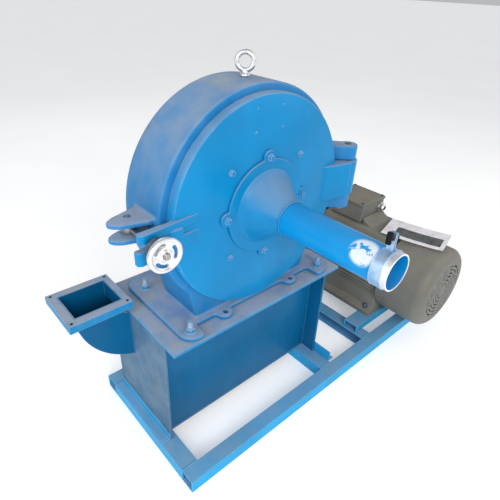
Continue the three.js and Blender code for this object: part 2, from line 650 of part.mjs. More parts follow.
// Rotor
function buildRotor() {
  const [plateF, plateR] = ROTOR_PLATE_Y;
  const t = ROTOR_PLATE_T;
  const [shaftY0, shaftY1] = MAIN_SHAFT_Y;
  const plateBack = plateF + t + GAP;
  const shaftProfile = [[0, shaftY0], [SHAFT_R - 4, shaftY0], [SHAFT_R - 4, plateF - 14],
    [HUB_R - 6, plateF - 14], [HUB_R - 6, plateF - GAP], [SHAFT_R, plateF - GAP], [SHAFT_R, plateBack],
    [HUB_R, plateBack], [HUB_R, plateR - GAP], [SHAFT_R, plateR - GAP], [SHAFT_R, shaftY1], [0, shaftY1]];
  addNode('main_shaft', turned(shaftProfile, AXIS_X, AXIS_Z, 20), 'steel');
  ROTOR_PLATE_Y.forEach((y0, i) => {
    let plate = ringY(SHAFT_R + GAP, ROTOR_PLATE_R, y0, y0 + t, AXIS_X, AXIS_Z, 32);
    for (let k = 0; k < 4; k += 1) {
      const [x, z] = pinCentre(k);
      plate = cut(plate, discY(HAMMER_PIN_R + 0.6, y0 - 5, y0 + t + 5, x, z, 12));
    }
    addNode(`rotor_plate_${['front', 'rear'][i]}`, plate, 'iron');
  });
  for (let k = 0; k < 4; k += 1) {
    const [x, z] = pinCentre(k);
    const rod = discY(HAMMER_PIN_R, plateF - 8, plateR + t + 8, x, z, 12);
    const head = discY(HAMMER_PIN_R + 5, plateR + t + GAP, plateR + t + 8, x, z, 12);
    addNode(`hammer_pin_${k + 1}`, join(rod, head), 'steel');
    HAMMER_Y.forEach((y0, i) => {
      addNode(`hammer_${2 * k + i + 1}`, hammer(x, z, y0), 'iron');
    });
  }
  addNode('mill_pulley', pulley(MILL_PULLEY_R, SHAFT_R, AXIS_X, AXIS_Z), 'iron');
}

function pinCentre(k) {
  const a = Math.PI / 4 + (k * Math.PI) / 2;
  return [AXIS_X + PIN_CIRCLE_R * Math.cos(a), AXIS_Z + PIN_CIRCLE_R * Math.sin(a)];
}

// A flat hammer that hangs straight down from its pin.
function hammer(x, z, y0) {
  const half = HAMMER_W / 2;
  const shape = new THREE.Shape();
  shape.moveTo(x - half, z - HAMMER_LEN + half);
  shape.lineTo(x + half, z - HAMMER_LEN + half);
  shape.lineTo(x + half, z);
  shape.absarc(x, z, half, 0, Math.PI, false);
  const hole = discY(HAMMER_PIN_R + 1, y0 - 5, y0 + HAMMER_T + 5, x, z, 12);
  return cut(alongY(shape, y0, y0 + HAMMER_T, 6), hole);
}

function pulley(r, bore, x, z) {
  const [y0, y1] = PULLEY_Y;
  const half = BELT_W / 2 + 1.2;
  const profile = [[bore + GAP, y0], [r, y0]];
  for (const y of BELT_Y) {
    const bottom = r - GROOVE_DEPTH;
    profile.push([r, y - half], [bottom, y - half + 3], [bottom, y + half - 3], [r, y + half]);
  }
  profile.push([r, y1], [bore + GAP, y1]);
  return turned(profile, x, z, 24);
}

// Bearings
function buildBearings() {
  const y0 = DRUM_Y1 + GAP;
  const seatF = y0 + 18;
  const seatR = HOUSING_Y1 - BEARING_W - 8;
  const bore = SHAFT_R + 6;
  const profile = [[bore, y0], [HOUSING_FLANGE_R, y0], [HOUSING_FLANGE_R, y0 + 14], [HOUSING_R, y0 + 20],
    [HOUSING_R, HOUSING_Y1], [bore, HOUSING_Y1]];
  let housing = turned(profile, AXIS_X, AXIS_Z, 24);
  for (const seat of [seatF, seatR]) {
    const [s0, s1] = [seat - GAP, seat + BEARING_W + GAP];
    housing = cut(housing, ringY(SHAFT_R + 2, BEARING_R + GAP, s0, s1, AXIS_X, AXIS_Z, 24));
  }
  addNode('bearing_housing', housing, 'blue');
  const bearing = (seat) => ringY(SHAFT_R + GAP, BEARING_R, seat, seat + BEARING_W, AXIS_X, AXIS_Z, 24);
  addNode('bearing_front', bearing(seatF), 'steel');
  addNode('bearing_rear', bearing(seatR), 'steel');
}

// Belts: each is a flat loop round both pulleys.
function beltLoop(rMill, rMotor) {
  const dx = MOTOR_X - AXIS_X;
  const dz = MOTOR_Z - AXIS_Z;
  const span = Math.hypot(dx, dz);
  const lean = Math.atan2(dz, dx);
  const wrap = Math.acos((rMill - rMotor) / span);
  const shape = new THREE.Shape();
  shape.absarc(AXIS_X, AXIS_Z, rMill, lean + wrap, lean - wrap + 2 * Math.PI, false);
  shape.absarc(MOTOR_X, MOTOR_Z, rMotor, lean - wrap, lean + wrap, false);
  return shape;
}

function buildBelts() {
  const rMill = MILL_PULLEY_R - GROOVE_DEPTH + 2;
  const rMotor = MOTOR_PULLEY_R - GROOVE_DEPTH + 2;
  BELT_Y.forEach((y, i) => {
    const half = BELT_W / 2 - 2;
    const outer = alongY(beltLoop(rMill + BELT_T, rMotor + BELT_T), y - half, y + half, 12);
    const inner = alongY(beltLoop(rMill, rMotor), y - BELT_W, y + BELT_W, 12);
    addNode(`v_belt_${i + 1}`, cut(outer, inner), 'rubber');
  });
  addNode('motor_pulley', pulley(MOTOR_PULLEY_R, MOTOR_SHAFT_R, MOTOR_X, MOTOR_Z), 'iron');
}

// Motor
function finnedBody() {
  const points = [];
  for (let i = 0; i < FIN_COUNT; i += 1) {
    const a = (i * 2 * Math.PI) / FIN_COUNT;
    const step = (2 * Math.PI) / FIN_COUNT;
    const low = MOTOR_BODY_R;
    const high = MOTOR_BODY_R + FIN_H;
    const [foot, tip] = [0.32 * step, 0.12 * step];
    points.push([low, a - foot], [high, a - tip], [high, a + tip], [low, a + foot]);
  }
  const outline = points.map(([r, a]) => [MOTOR_X + r * Math.cos(a), MOTOR_Z + r * Math.sin(a)]);
  return alongY(polygon(outline), MOTOR_BODY_Y[0] + 30, MOTOR_BODY_Y[1] - 40);
}

// The flat top under the terminal box and the shoulder that rises to it.
function motorPedestal() {
  const low = MOTOR_Z + 80;
  const top = polygon([[MOTOR_X - 112, low], [MOTOR_X - 94, PEDESTAL_Z], [MOTOR_X + 94, PEDESTAL_Z],
    [MOTOR_X + 112, low]]);
  const boxFace = TBOX_Y[0] - 2 * GAP;
  const shoulder = polygon([[boxFace, PEDESTAL_Z - 8], [boxFace, PEDESTAL_Z + 27],
    [boxFace - 22, PEDESTAL_Z + 10], [boxFace - 52, PEDESTAL_Z], [boxFace - 60, PEDESTAL_Z - 8]]);
  return [alongY(top, ...PEDESTAL_Y), alongX(shoulder, TBOX_X[0] + 14, TBOX_X[1] - 7)];
}

function buildMotor() {
  const [b0, b1] = MOTOR_BODY_Y;
  const coreProfile = [[0, b0], [120, b0], [MOTOR_BODY_R, b0 + 14], [MOTOR_BODY_R, b1 - 12], [120, b1],
    [60, b1 + 18], [0, b1 + 18]];
  const core = turned(coreProfile, MOTOR_X, MOTOR_Z, 28);
  const feet = [];
  for (const side of [-1, 1]) {
    const outline = polygon([[MOTOR_X + side * FOOT_HALF, MOTOR_RAIL_H + GAP],
      [MOTOR_X + side * FOOT_HALF, MOTOR_RAIL_H + 22], [MOTOR_X + side * 146, MOTOR_RAIL_H + 30],
      [MOTOR_X + side * 136, MOTOR_Z - 30], [MOTOR_X + side * 90, MOTOR_Z - 60],
      [MOTOR_X + side * 78, MOTOR_RAIL_H + GAP]]);
    feet.push(alongY(outline, ...MOTOR_FOOT_Y));
  }
  const [tx0, tx1] = TBOX_X;
  const [ty0, ty1] = TBOX_Y;
  const saddle = block(tx0 + 14, tx1 - 14, ty0 + 12, ty1 - 12, MOTOR_Z + 90, TBOX_Z0 - GAP);
  let body = join(core, finnedBody(), ...feet, saddle, ...motorPedestal());
  body = cut(body, discY(MOTOR_SHAFT_R + 2, b0 - 60, b1 + 60, MOTOR_X, MOTOR_Z, 24));
  addNode('motor_frame', body, 'grey');
  const tbox = alongZ(roundedRect(tx0, tx1, ty0, ty1, 10), TBOX_Z0, TBOX_Z1, 4);
  const gland = discY(17, ty0 - 26, ty0 + 6, GLAND_X, GLAND_Z, 16);
  const glandBore = discY(10, ty0 - 40, ty0 - 6, GLAND_X, GLAND_Z, 12);
  addNode('terminal_box', cut(join(tbox, gland), glandBore), 'grey');
  buildCowl();
  const [shaftY0, shaftY1] = MOTOR_SHAFT_Y;
  const shaftProfile = [[0, shaftY0], [18, shaftY0], [18, -112], [MOTOR_SHAFT_R, -100],
    [MOTOR_SHAFT_R, shaftY1], [0, shaftY1]];
  const shaft = turned(shaftProfile, MOTOR_X, MOTOR_Z, 28);
  const hub = discY(46, FAN_Y[0] + 4, FAN_Y[1] - 6, MOTOR_X, MOTOR_Z, 24);
  const blades = [];
  for (let i = 0; i < FAN_BLADES; i += 1) {
    const blade = block(...FAN_R, ...FAN_Y, -3, 3);
    blades.push(blade.rotate([0, (i * 360) / FAN_BLADES, 0]).translate([MOTOR_X, 0, MOTOR_Z]));
  }
  addNode('motor_shaft', join(shaft, hub, ...blades), 'steel');
  const card = new THREE.BoxGeometry(...CARD);
  card.rotateZ(CARD_TURN);
  card.translate(...CARD_AT, MOTOR_Z + COWL_R + GAP + CARD[2] / 2);
  addNode('data_card', toSolid(card), 'card');
}

// The rounded nose of the cowl at one face: an arc of the given radius.
function cowlNose(r, steps) {
  const arc = [];
  for (let i = 0; i <= steps; i += 1) {
    const a = (i / steps) * (Math.PI / 2);
    arc.push([COWL_R - COWL_ROUND + r * Math.sin(a), COWL_Y0 + COWL_ROUND - r * Math.cos(a)]);
  }
  return arc;
}

function buildCowl() {
  const wall = 3;
  const steps = 2;
  const outside = cowlNose(COWL_ROUND, steps);
  const inside = cowlNose(COWL_ROUND - wall, steps).reverse();
  const profile = [...outside, [COWL_R, COWL_Y1], [COWL_R - wall, COWL_Y1], ...inside,
    [0, COWL_Y0 + wall], [0, COWL_Y0]];
  let cowl = turned(profile, MOTOR_X, MOTOR_Z, 32);
  const [inner, outer] = COWL_SLOT_R;
  for (let i = 0; i < 4; i += 1) {
    const mid = Math.PI / 4 + (i * Math.PI) / 2;
    const slot = ringSlot(MOTOR_X, MOTOR_Z, inner, outer, mid, 0.66);
    cowl = cut(cowl, alongY(slot, COWL_Y0 - 5, COWL_Y0 + 10, 4));
  }
  addNode('fan_cowl', cowl, 'grey');
}

buildFrame();
buildBox();
buildOutlet();
buildCasing();
buildDoor();
buildInlet();
buildLatch();
buildRotor();
buildBearings();
buildBelts();
buildMotor();

// The origin is the middle of the outline on the floor.
const bounds = new THREE.Box3().setFromObject(root);
const middle = bounds.getCenter(new THREE.Vector3());
root.position.set(-middle.x, -middle.y, -bounds.min.z);
root.updateMatrixWorld(true);

export default root;
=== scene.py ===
"""Looks of a hammer mill: cast drum and hinged door, flared inlet tube, plate box, channel frame and motor.

Lengths in the makers are millimetres in the mill's own axes: x from the left end of the plate box, y from
its front edge and z from the top of the channel frame. Each finished mesh is then set down in metres.
"""

import math
import random

import bmesh
import bpy
from bpy.props import FloatProperty, FloatVectorProperty, IntProperty, PointerProperty
from mathutils import Matrix, Vector


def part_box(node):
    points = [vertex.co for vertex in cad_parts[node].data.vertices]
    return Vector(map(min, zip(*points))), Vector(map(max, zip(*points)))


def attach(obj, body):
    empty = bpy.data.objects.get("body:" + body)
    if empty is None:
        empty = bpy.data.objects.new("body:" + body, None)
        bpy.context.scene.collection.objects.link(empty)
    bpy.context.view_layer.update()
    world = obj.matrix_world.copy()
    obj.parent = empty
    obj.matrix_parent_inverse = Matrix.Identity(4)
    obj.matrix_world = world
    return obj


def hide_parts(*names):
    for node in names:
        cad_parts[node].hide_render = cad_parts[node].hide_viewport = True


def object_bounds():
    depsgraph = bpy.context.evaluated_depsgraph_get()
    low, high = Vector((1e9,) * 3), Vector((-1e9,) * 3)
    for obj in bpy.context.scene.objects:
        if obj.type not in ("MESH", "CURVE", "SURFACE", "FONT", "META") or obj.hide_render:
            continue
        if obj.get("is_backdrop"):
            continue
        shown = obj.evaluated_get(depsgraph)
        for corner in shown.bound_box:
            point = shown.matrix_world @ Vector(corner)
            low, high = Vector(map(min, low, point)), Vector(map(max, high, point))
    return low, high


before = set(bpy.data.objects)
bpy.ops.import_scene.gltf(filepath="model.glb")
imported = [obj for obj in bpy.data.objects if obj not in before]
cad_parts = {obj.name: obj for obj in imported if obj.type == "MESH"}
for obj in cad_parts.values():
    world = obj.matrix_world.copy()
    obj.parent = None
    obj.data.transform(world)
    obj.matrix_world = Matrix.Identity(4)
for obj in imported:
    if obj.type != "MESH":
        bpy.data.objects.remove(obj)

bl_info = {
    "name": "Hammer Mill",
    "version": (1, 0, 0),
    "blender": (4, 5, 0),
    "location": "View3D > Sidebar > Mill",
    "description": "Builds the castings, fasteners and finishes of a belt-driven hammer mill",
    "category": "Add Mesh",
}

MM = 0.001
FIT = 0.35
DOOR_FACE = -18  # front of the door disc
FOOT_LOW = 420 + FIT  # underside of the casing's foot, on the box flange
FOOT_TOP = FOOT_LOW + 15
THROAT = ((150, 48, 380), (520, 152, 560))  # corners of the way out of the casing
CARD_TURN = 0.25  # radians
CAMERA_REACH = Vector((-0.242, -0.3446, 0.1349))  # metres, from the upper left front corner of the CAD box


# Places, read from the frame

def find_origin():
    """The mill's own zero: left end of the box, its front edge, the top of the channels."""
    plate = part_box("box_left_plate")[0]
    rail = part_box("front_rail")[1]
    return Vector((plate.x - FIT * MM, plate.y, rail.z))


ORIGIN = find_origin()


def span(node):
    """Lowest and highest corner of a CAD node, in the mill's own millimetres."""
    low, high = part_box(node)
    return (low - ORIGIN) / MM, (high - ORIGIN) / MM


def middle(node):
    low, high = span(node)
    return (low + high) / 2


AXIS_X, _, AXIS_Z = middle("main_shaft")
MOTOR_X, _, MOTOR_Z = middle("motor_pulley")
LATCH_X, LATCH_Y, _ = middle("latch_pin")
LATCH_Z = middle("swing_bolt").z
HINGE_X, HINGE_Y, _ = middle("hinge_pin")
MILL_AXIS = (AXIS_X, AXIS_Z)
MOTOR_AXIS = (MOTOR_X, MOTOR_Z)


# Colour and shader helpers

def linear(code):
    """Linear RGBA of an sRGB hex colour."""
    parts = [int(code[i:i + 2], 16) / 255 for i in (1, 3, 5)]
    return tuple(c / 12.92 if c <= 0.04045 else ((c + 0.055) / 1.055) ** 2.4 for c in parts) + (1.0,)


def per_metre(millimetres):
    """Texture scale whose features are about this far apart."""
    return 1.0 / (millimetres * MM)


def add(tree, kind, settings=None, links=None):
    """Adds a node, sets its own settings and its sockets, and links what feeds it."""
    node = tree.nodes.new(kind)
    for key, value in (settings or {}).items():
        if isinstance(key, int) or key in node.inputs:
            node.inputs[key].default_value = value
        else:
            setattr(node, key, value)
    for key, source in (links or {}).items():
        tree.links.new(source, node.inputs[key])
    return node


def blank(name, **sockets):
    """A material with only its shader, whose constant sockets are set here."""
    material = bpy.data.materials.new(name)
    material.use_nodes = True
    tree = material.node_tree
    tree.nodes.clear()
    shader = add(tree, "ShaderNodeBsdfPrincipled", {k.replace("_", " "): v for k, v in sockets.items()})
    add(tree, "ShaderNodeOutputMaterial", links={"Surface": shader.outputs[0]})
    return material, tree, shader


def blend_colour(tree, factor, low, high):
    """Colour between two, each a socket or an RGBA value."""
    node = add(tree, "ShaderNodeMix", {"data_type": "RGBA"}, {0: factor})
    for index, value in ((6, low), (7, high)):
        if isinstance(value, bpy.types.NodeSocket):
            tree.links.new(value, node.inputs[index])
        else:
            node.inputs[index].default_value = value
    return node.outputs[2]


def grain(tree, place, size_mm, detail=3.0, rough=0.55, stretch=None):
    """Noise with features of a real size in millimetres."""
    source = place
    if stretch:
        source = add(tree, "ShaderNodeVectorMath", {"operation": "MULTIPLY", 1: stretch}, {0: place}).outputs[0]
    settings = {"Scale": per_metre(size_mm), "Detail": detail, "Roughness": rough}
    return add(tree, "ShaderNodeTexNoise", settings, {"Vector": source}).outputs["Fac"]


def ramped(tree, value, low, high, to_low=0.0, to_high=1.0):
    settings = {"interpolation_type": "SMOOTHSTEP", "From Min": low, "From Max": high,
                "To Min": to_low, "To Max": to_high}
    return add(tree, "ShaderNodeMapRange", settings, {"Value": value}).outputs[0]


def sums(tree, operation, first, second):
    node = add(tree, "ShaderNodeMath", {"operation": operation, "use_clamp": operation != "SUBTRACT"}, {0: first})
    if isinstance(second, bpy.types.NodeSocket):
        tree.links.new(second, node.inputs[1])
    else:
        node.inputs[1].default_value = second
    return node.outputs[0]


def edge_mask(tree, radius_mm):
    """Bright where the surface turns a corner, so that paint rubs off there."""
    soft = add(tree, "ShaderNodeBevel", {"samples": 4, "Radius": radius_mm * MM})
    plain = add(tree, "ShaderNodeNewGeometry")
    dot = add(tree, "ShaderNodeVectorMath", {"operation": "DOT_PRODUCT"},
              {0: soft.outputs[0], 1: plain.outputs["Normal"]}).outputs["Value"]
    return ramped(tree, dot, 0.995, 0.88)


# Geometry helpers

def arc(centre, radius, start, end, steps):
    """Points of an arc between two angles in degrees."""
    turns = [math.radians(start + (end - start) * i / steps) for i in range(steps + 1)]
    return [(centre[0] + radius * math.cos(t), centre[1] + radius * math.sin(t)) for t in turns]


def curve(start, pull, end, steps):
    """Points of a quadratic curve, without its two ends."""
    points = []
    for i in range(1, steps):
        t = i / steps
        points.append(tuple((1 - t) ** 2 * a + 2 * t * (1 - t) * b + t * t * c for a, b, c in zip(start, pull, end)))
    return points


def turned(profile, centre, sides=96, along="y"):
    """A solid of revolution: the closed profile lists (radius, distance along the axis)."""
    bm = bmesh.new()
    rings = []
    for radius, reach in profile:
        count = 1 if radius < 1e-6 else sides
        ring = []
        for i in range(count):
            t = 2 * math.pi * i / sides
            u = centre[0] + radius * math.cos(t)
            v = centre[1] + radius * math.sin(t)
            ring.append(bm.verts.new({"y": (u, reach, v), "z": (u, v, reach), "x": (reach, u, v)}[along]))
        rings.append(ring)
    for a, b in zip(rings, rings[1:] + rings[:1]):
        for i in range(sides):
            j = (i + 1) % sides
            corners = list(dict.fromkeys([a[i % len(a)], a[j % len(a)], b[j % len(b)], b[i % len(b)]]))
            if len(corners) > 2:
                bm.faces.new(corners)
    bmesh.ops.recalc_face_normals(bm, faces=bm.faces)
    return bm


def plug(radius, low, high, centre, sides):
    """A plain round plug along z."""
    return turned([(0, low), (radius, low), (radius, high), (0, high)], centre, sides, "z")


def around(centre, radius, count, start=0.0):
    """Points spaced evenly round a circle, each with its angle in radians."""
    turns = [math.radians(start + 360 / count * i) for i in range(count)]
    return [(centre[0] + radius * math.cos(t), centre[1] + radius * math.sin(t), t) for t in turns]


def prism(outline, low, high, along="y", round_mm=0.0, segments=3):
    """An outline drawn out along one axis, with its edges rounded if asked."""
    bm = bmesh.new()
    rows = []
    for w in (low, high):
        rows.append([bm.verts.new({"y": (u, w, v), "z": (u, v, w), "x": (w, u, v)}[along]) for u, v in outline])
    bm.faces.new(rows[0])
    bm.faces.new(rows[1][::-1])
    for i in range(len(outline)):
        j = (i + 1) % len(outline)
        bm.faces.new([rows[0][i], rows[0][j], rows[1][j], rows[1][i]])
    bmesh.ops.recalc_face_normals(bm, faces=bm.faces)
    if round_mm:
        soften_edges(bm, round_mm, segments)
    return bm


def soften_edges(bm, radius, segments=3, angle=30.0):
    sharp = [e for e in bm.edges if len(e.link_faces) == 2 and e.calc_face_angle(0.0) > math.radians(angle)]
    bmesh.ops.bevel(bm, geom=sharp, offset=radius, segments=segments, affect="EDGES", profile=0.5,
                    clamp_overlap=True)


def slab(low, high, round_mm=0.0):
    """A block between two corners."""
    outline = [(low[0], low[1]), (high[0], low[1]), (high[0], high[1]), (low[0], high[1])]
    return prism(outline, low[2], high[2], "z", round_mm)


def joined(parts):
    """One mesh holding all the parts; the parts are used up."""
    whole = bmesh.new()
    for part in parts:
        carrier = bpy.data.meshes.new("carrier")
        part.to_mesh(carrier)
        part.free()
        whole.from_mesh(carrier)
        bpy.data.meshes.remove(carrier)
    return whole


def through_modifiers(bm, build):
    """Runs a mesh through the modifiers that build() adds, and gives the result."""
    mesh = bpy.data.meshes.new("work")
    bm.to_mesh(mesh)
    bm.free()
    obj = bpy.data.objects.new("work", mesh)
    bpy.context.scene.collection.objects.link(obj)
    build(obj)
    graph = bpy.context.evaluated_depsgraph_get()
    result = bpy.data.meshes.new_from_object(obj.evaluated_get(graph))
    bpy.data.objects.remove(obj)
    out = bmesh.new()
    out.from_mesh(result)
    bpy.data.meshes.remove(result)
    bpy.data.meshes.remove(mesh)
    return out


def cast(parts, voxel, passes):
    """A casting: overlapping solids take one skin, with fillets and softened edges."""
    def build(obj):
        skin = obj.modifiers.new("skin", "REMESH")
        skin.mode = "VOXEL"
        skin.voxel_size = voxel
        ease = obj.modifiers.new("ease", "SMOOTH")
        ease.factor = 0.5
        ease.iterations = passes
    return through_modifiers(joined(parts), build)


def drilled(bm, cutters, solver="MANIFOLD"):
    """The mesh with the cutters taken out of it."""
    tool_mesh = bpy.data.meshes.new("tool")
    tool = joined(cutters)
    tool.to_mesh(tool_mesh)
    tool.free()
    tool_obj = bpy.data.objects.new("tool", tool_mesh)
    bpy.context.scene.collection.objects.link(tool_obj)

    def build(obj):
        cut = obj.modifiers.new("cut", "BOOLEAN")
        cut.operation = "DIFFERENCE"
        cut.solver = solver
        cut.object = tool_obj
    out = through_modifiers(bm, build)
    bpy.data.objects.remove(tool_obj)
    bpy.data.meshes.remove(tool_mesh)
    if not out.faces:
        raise RuntimeError("the cut left nothing")
    return out


def set_down(name, bm, material, body, stands_for=(), crease=38.0):
    """Turns a mesh into a shown piece, in metres, riding on its body."""
    mesh = bpy.data.meshes.new(name)
    bm.to_mesh(mesh)
    bm.free()
    mesh.transform(Matrix.Translation(ORIGIN) @ Matrix.Scale(MM, 4))
    mesh.shade_smooth()
    mesh.set_sharp_from_angle(angle=math.radians(crease))
    mesh.materials.append(material)
    obj = bpy.data.objects.new(name, mesh)
    bpy.context.scene.collection.objects.link(obj)
    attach(obj, body)
    if stands_for:
        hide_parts(*stands_for)
    return obj


def dress(node, material, edge_mm=1.0, segments=2):
    """Gives a CAD node its finish, and breaks its sharp edges as a fabricator would."""
    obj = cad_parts[node]
    obj.data.materials.clear()
    obj.data.materials.append(material)
    obj.data.shade_smooth()
    weld = obj.modifiers.new("weld", "WELD")
    weld.merge_threshold = 0.00001
    flat = obj.modifiers.new("flat", "DECIMATE")
    flat.decimate_type = "DISSOLVE"
    flat.angle_limit = math.radians(0.5)
    edge = obj.modifiers.new("edge", "BEVEL")
    edge.width = edge_mm * MM
    edge.segments = segments
    edge.limit_method = "ANGLE"
    edge.angle_limit = math.radians(35)
    even = obj.modifiers.new("even", "WEIGHTED_NORMAL")
    even.weight = 80
    return obj


# Small parts that repeat

def facing(point, direction):
    """Places something made about +Z at the origin so that +Z points along direction."""
    turn = Vector(direction).to_track_quat("Z", "Y").to_matrix().to_4x4()
    return Matrix.Translation(Vector(point)) @ turn


def hexagon(across, height, chamfer=1.0, turn=0.0):
    """A hexagon head or nut standing on the origin, with its corners turned off."""
    corner = across / math.sqrt(3)
    outline = [(corner * math.cos(math.radians(60 * i + turn)), corner * math.sin(math.radians(60 * i + turn)))
               for i in range(6)]
    bm = bmesh.new()
    levels = ((0.0, 1.0), (height - chamfer, 1.0), (height, 0.86))
    rows = [[bm.verts.new((x * grow, y * grow, z)) for x, y in outline] for z, grow in levels]
    bm.faces.new(rows[0])
    bm.faces.new(rows[-1][::-1])
    for a, b in zip(rows, rows[1:]):
        for i in range(6):
            bm.faces.new([a[i], a[(i + 1) % 6], b[(i + 1) % 6], b[i]])
    bmesh.ops.recalc_face_normals(bm, faces=bm.faces)
    return bm


def threaded(radius, low, high, pitch=2.0, sides=24):
    """A rod along Z whose thread stands as rings, drawn coarser than the real one so that it shows."""
    depth = pitch * 0.45
    profile = [(0.0, low), (radius - depth, low)]
    reach = low
    while reach + pitch <= high:
        profile += [(radius, reach + pitch * 0.5), (radius - depth, reach + pitch)]
        reach += pitch
    profile += [(radius - depth, high), (0.0, high)]
    return turned(profile, (0, 0), sides, "z")


def fastened(kind, place, across=18.0, height=9.0, reach=16.0, turn=0.0):
    """The solids of one fastener: a bolt head on a washer, or a stud with its nut."""
    washer = turned([(across * 0.28, 0), (across * 0.72, 0), (across * 0.72, 1.8), (across * 0.28, 1.8)],
                    (0, 0), 28, "z")
    head = hexagon(across, height, across * 0.07, turn)
    bmesh.ops.translate(head, vec=(0, 0, 1.8), verts=head.verts)
    parts = [washer, head]
    if kind == "stud":
        parts.append(threaded(across * 0.31, 0.5, height + reach))
    whole = joined(parts)
    bmesh.ops.transform(whole, matrix=place, verts=whole.verts)
    return whole


def bead(points, radius, seed, closed=False, squash=0.75):
    """A weld bead: a lumpy half-sunk tube along a path."""
    rng = random.Random(seed)
    step = radius * 0.8
    path = []
    corners = [Vector(p) for p in points] + ([Vector(points[0])] if closed else [])
    for a, b in zip(corners, corners[1:]):
        count = max(1, int((b - a).length / step))
        path += [a.lerp(b, i / count) for i in range(count)]
    if not closed:
        path.append(corners[-1])
    bm = bmesh.new()
    rings = []
    sides = 8
    total = len(path)
    for i, point in enumerate(path):
        ahead = path[(i + 1) % total] if closed or i + 1 < total else point
        behind = path[i - 1] if closed or i else point
        forward = (ahead - behind).normalized()
        side = forward.orthogonal().normalized()
        up = forward.cross(side)
        swell = radius * (0.86 + 0.22 * abs(math.sin(i * 1.1)) + rng.uniform(-0.08, 0.08))
        if not closed and i in (0, total - 1):
            swell *= 0.45
        ring = [point + swell * (math.cos(t) * side + squash * math.sin(t) * up)
                for t in (2 * math.pi * k / sides for k in range(sides))]
        rings.append([bm.verts.new(p) for p in ring])
    pairs = list(zip(rings, rings[1:])) + ([(rings[-1], rings[0])] if closed else [])
    for a, b in pairs:
        shift = min(range(sides), key=lambda k: (a[0].co - b[k].co).length)
        for k in range(sides):
            bm.faces.new([a[k], a[(k + 1) % sides], b[(k + 1 + shift) % sides], b[(k + shift) % sides]])
    if not closed:
        bm.faces.new(rings[0])
        bm.faces.new(rings[-1][::-1])
    bmesh.ops.recalc_face_normals(bm, faces=bm.faces)
    return bm


# What a user would change

class MillPaint(bpy.types.PropertyGroup):
    azure: FloatVectorProperty(name="Azure", description="Enamel of the door, cone and inlet tube",
                               subtype="COLOR", size=4, min=0, max=1, default=linear("#0082BC"))
    drum: FloatVectorProperty(name="Drum blue", description="Enamel of the drum under its dust",
                              subtype="COLOR", size=4, min=0, max=1, default=linear("#007AB8"))
    plate: FloatVectorProperty(name="Plate blue", description="Enamel of the plate box",
                               subtype="COLOR", size=4, min=0, max=1, default=linear("#005F8E"))
    rail: FloatVectorProperty(name="Rail blue", description="Thin paint of the channel frame",
                              subtype="COLOR", size=4, min=0, max=1, default=linear("#169FD6"))
    motor: FloatVectorProperty(name="Motor grey", description="Enamel of the motor",
                               subtype="COLOR", size=4, min=0, max=1, default=linear("#71716C"))
    dust: FloatVectorProperty(name="Meal dust", description="Dust that lies on what faces up",
                              subtype="COLOR", size=4, min=0, max=1, default=linear("#97A3B6"))
    soot: FloatVectorProperty(name="Shop dust", description="Brown dust on the motor",
                              subtype="COLOR", size=4, min=0, max=1, default=linear("#87847B"))


class MillSizes(bpy.types.PropertyGroup):
    voxel: FloatProperty(name="Casting skin", description="Fineness of the cast skins",
                         unit="LENGTH", default=0.0032, min=0.0015, max=0.01)
    stud: FloatProperty(name="Foot nut", description="Width across the flats of the foot nuts",
                        unit="LENGTH", default=0.024, min=0.01, max=0.05)
    door_bolt: FloatProperty(name="Door bolt", description="Width across the flats of the door bolts",
                             unit="LENGTH", default=0.013, min=0.006, max=0.03)
    fins: IntProperty(name="Motor fins", description="Cooling fins round the motor",
                      default=52, min=12, max=80)
    bead: FloatProperty(name="Weld bead", description="Half width of the weld beads",
                        unit="LENGTH", default=0.0032, min=0.001, max=0.01)


class MillStage(bpy.types.PropertyGroup):
    azimuth: FloatProperty(name="Camera azimuth", description="Turn of the camera from straight ahead",
                           unit="ROTATION", default=math.radians(-43.25))
    elevation: FloatProperty(name="Camera elevation", description="Angle at which the camera looks down",
                             unit="ROTATION", default=math.radians(31.57))
    roll: FloatProperty(name="Camera roll", description="Tilt of the camera about its own view",
                        unit="ROTATION", default=math.radians(2.9))
    lens: FloatProperty(name="Lens", description="Focal length on a 36 mm wide sensor, in millimetres",
                        unit="NONE", default=31.2, min=10, max=200)
    floor: FloatProperty(name="Floor", description="Side of the floor", unit="LENGTH", default=160.0, min=2)


# Finishes

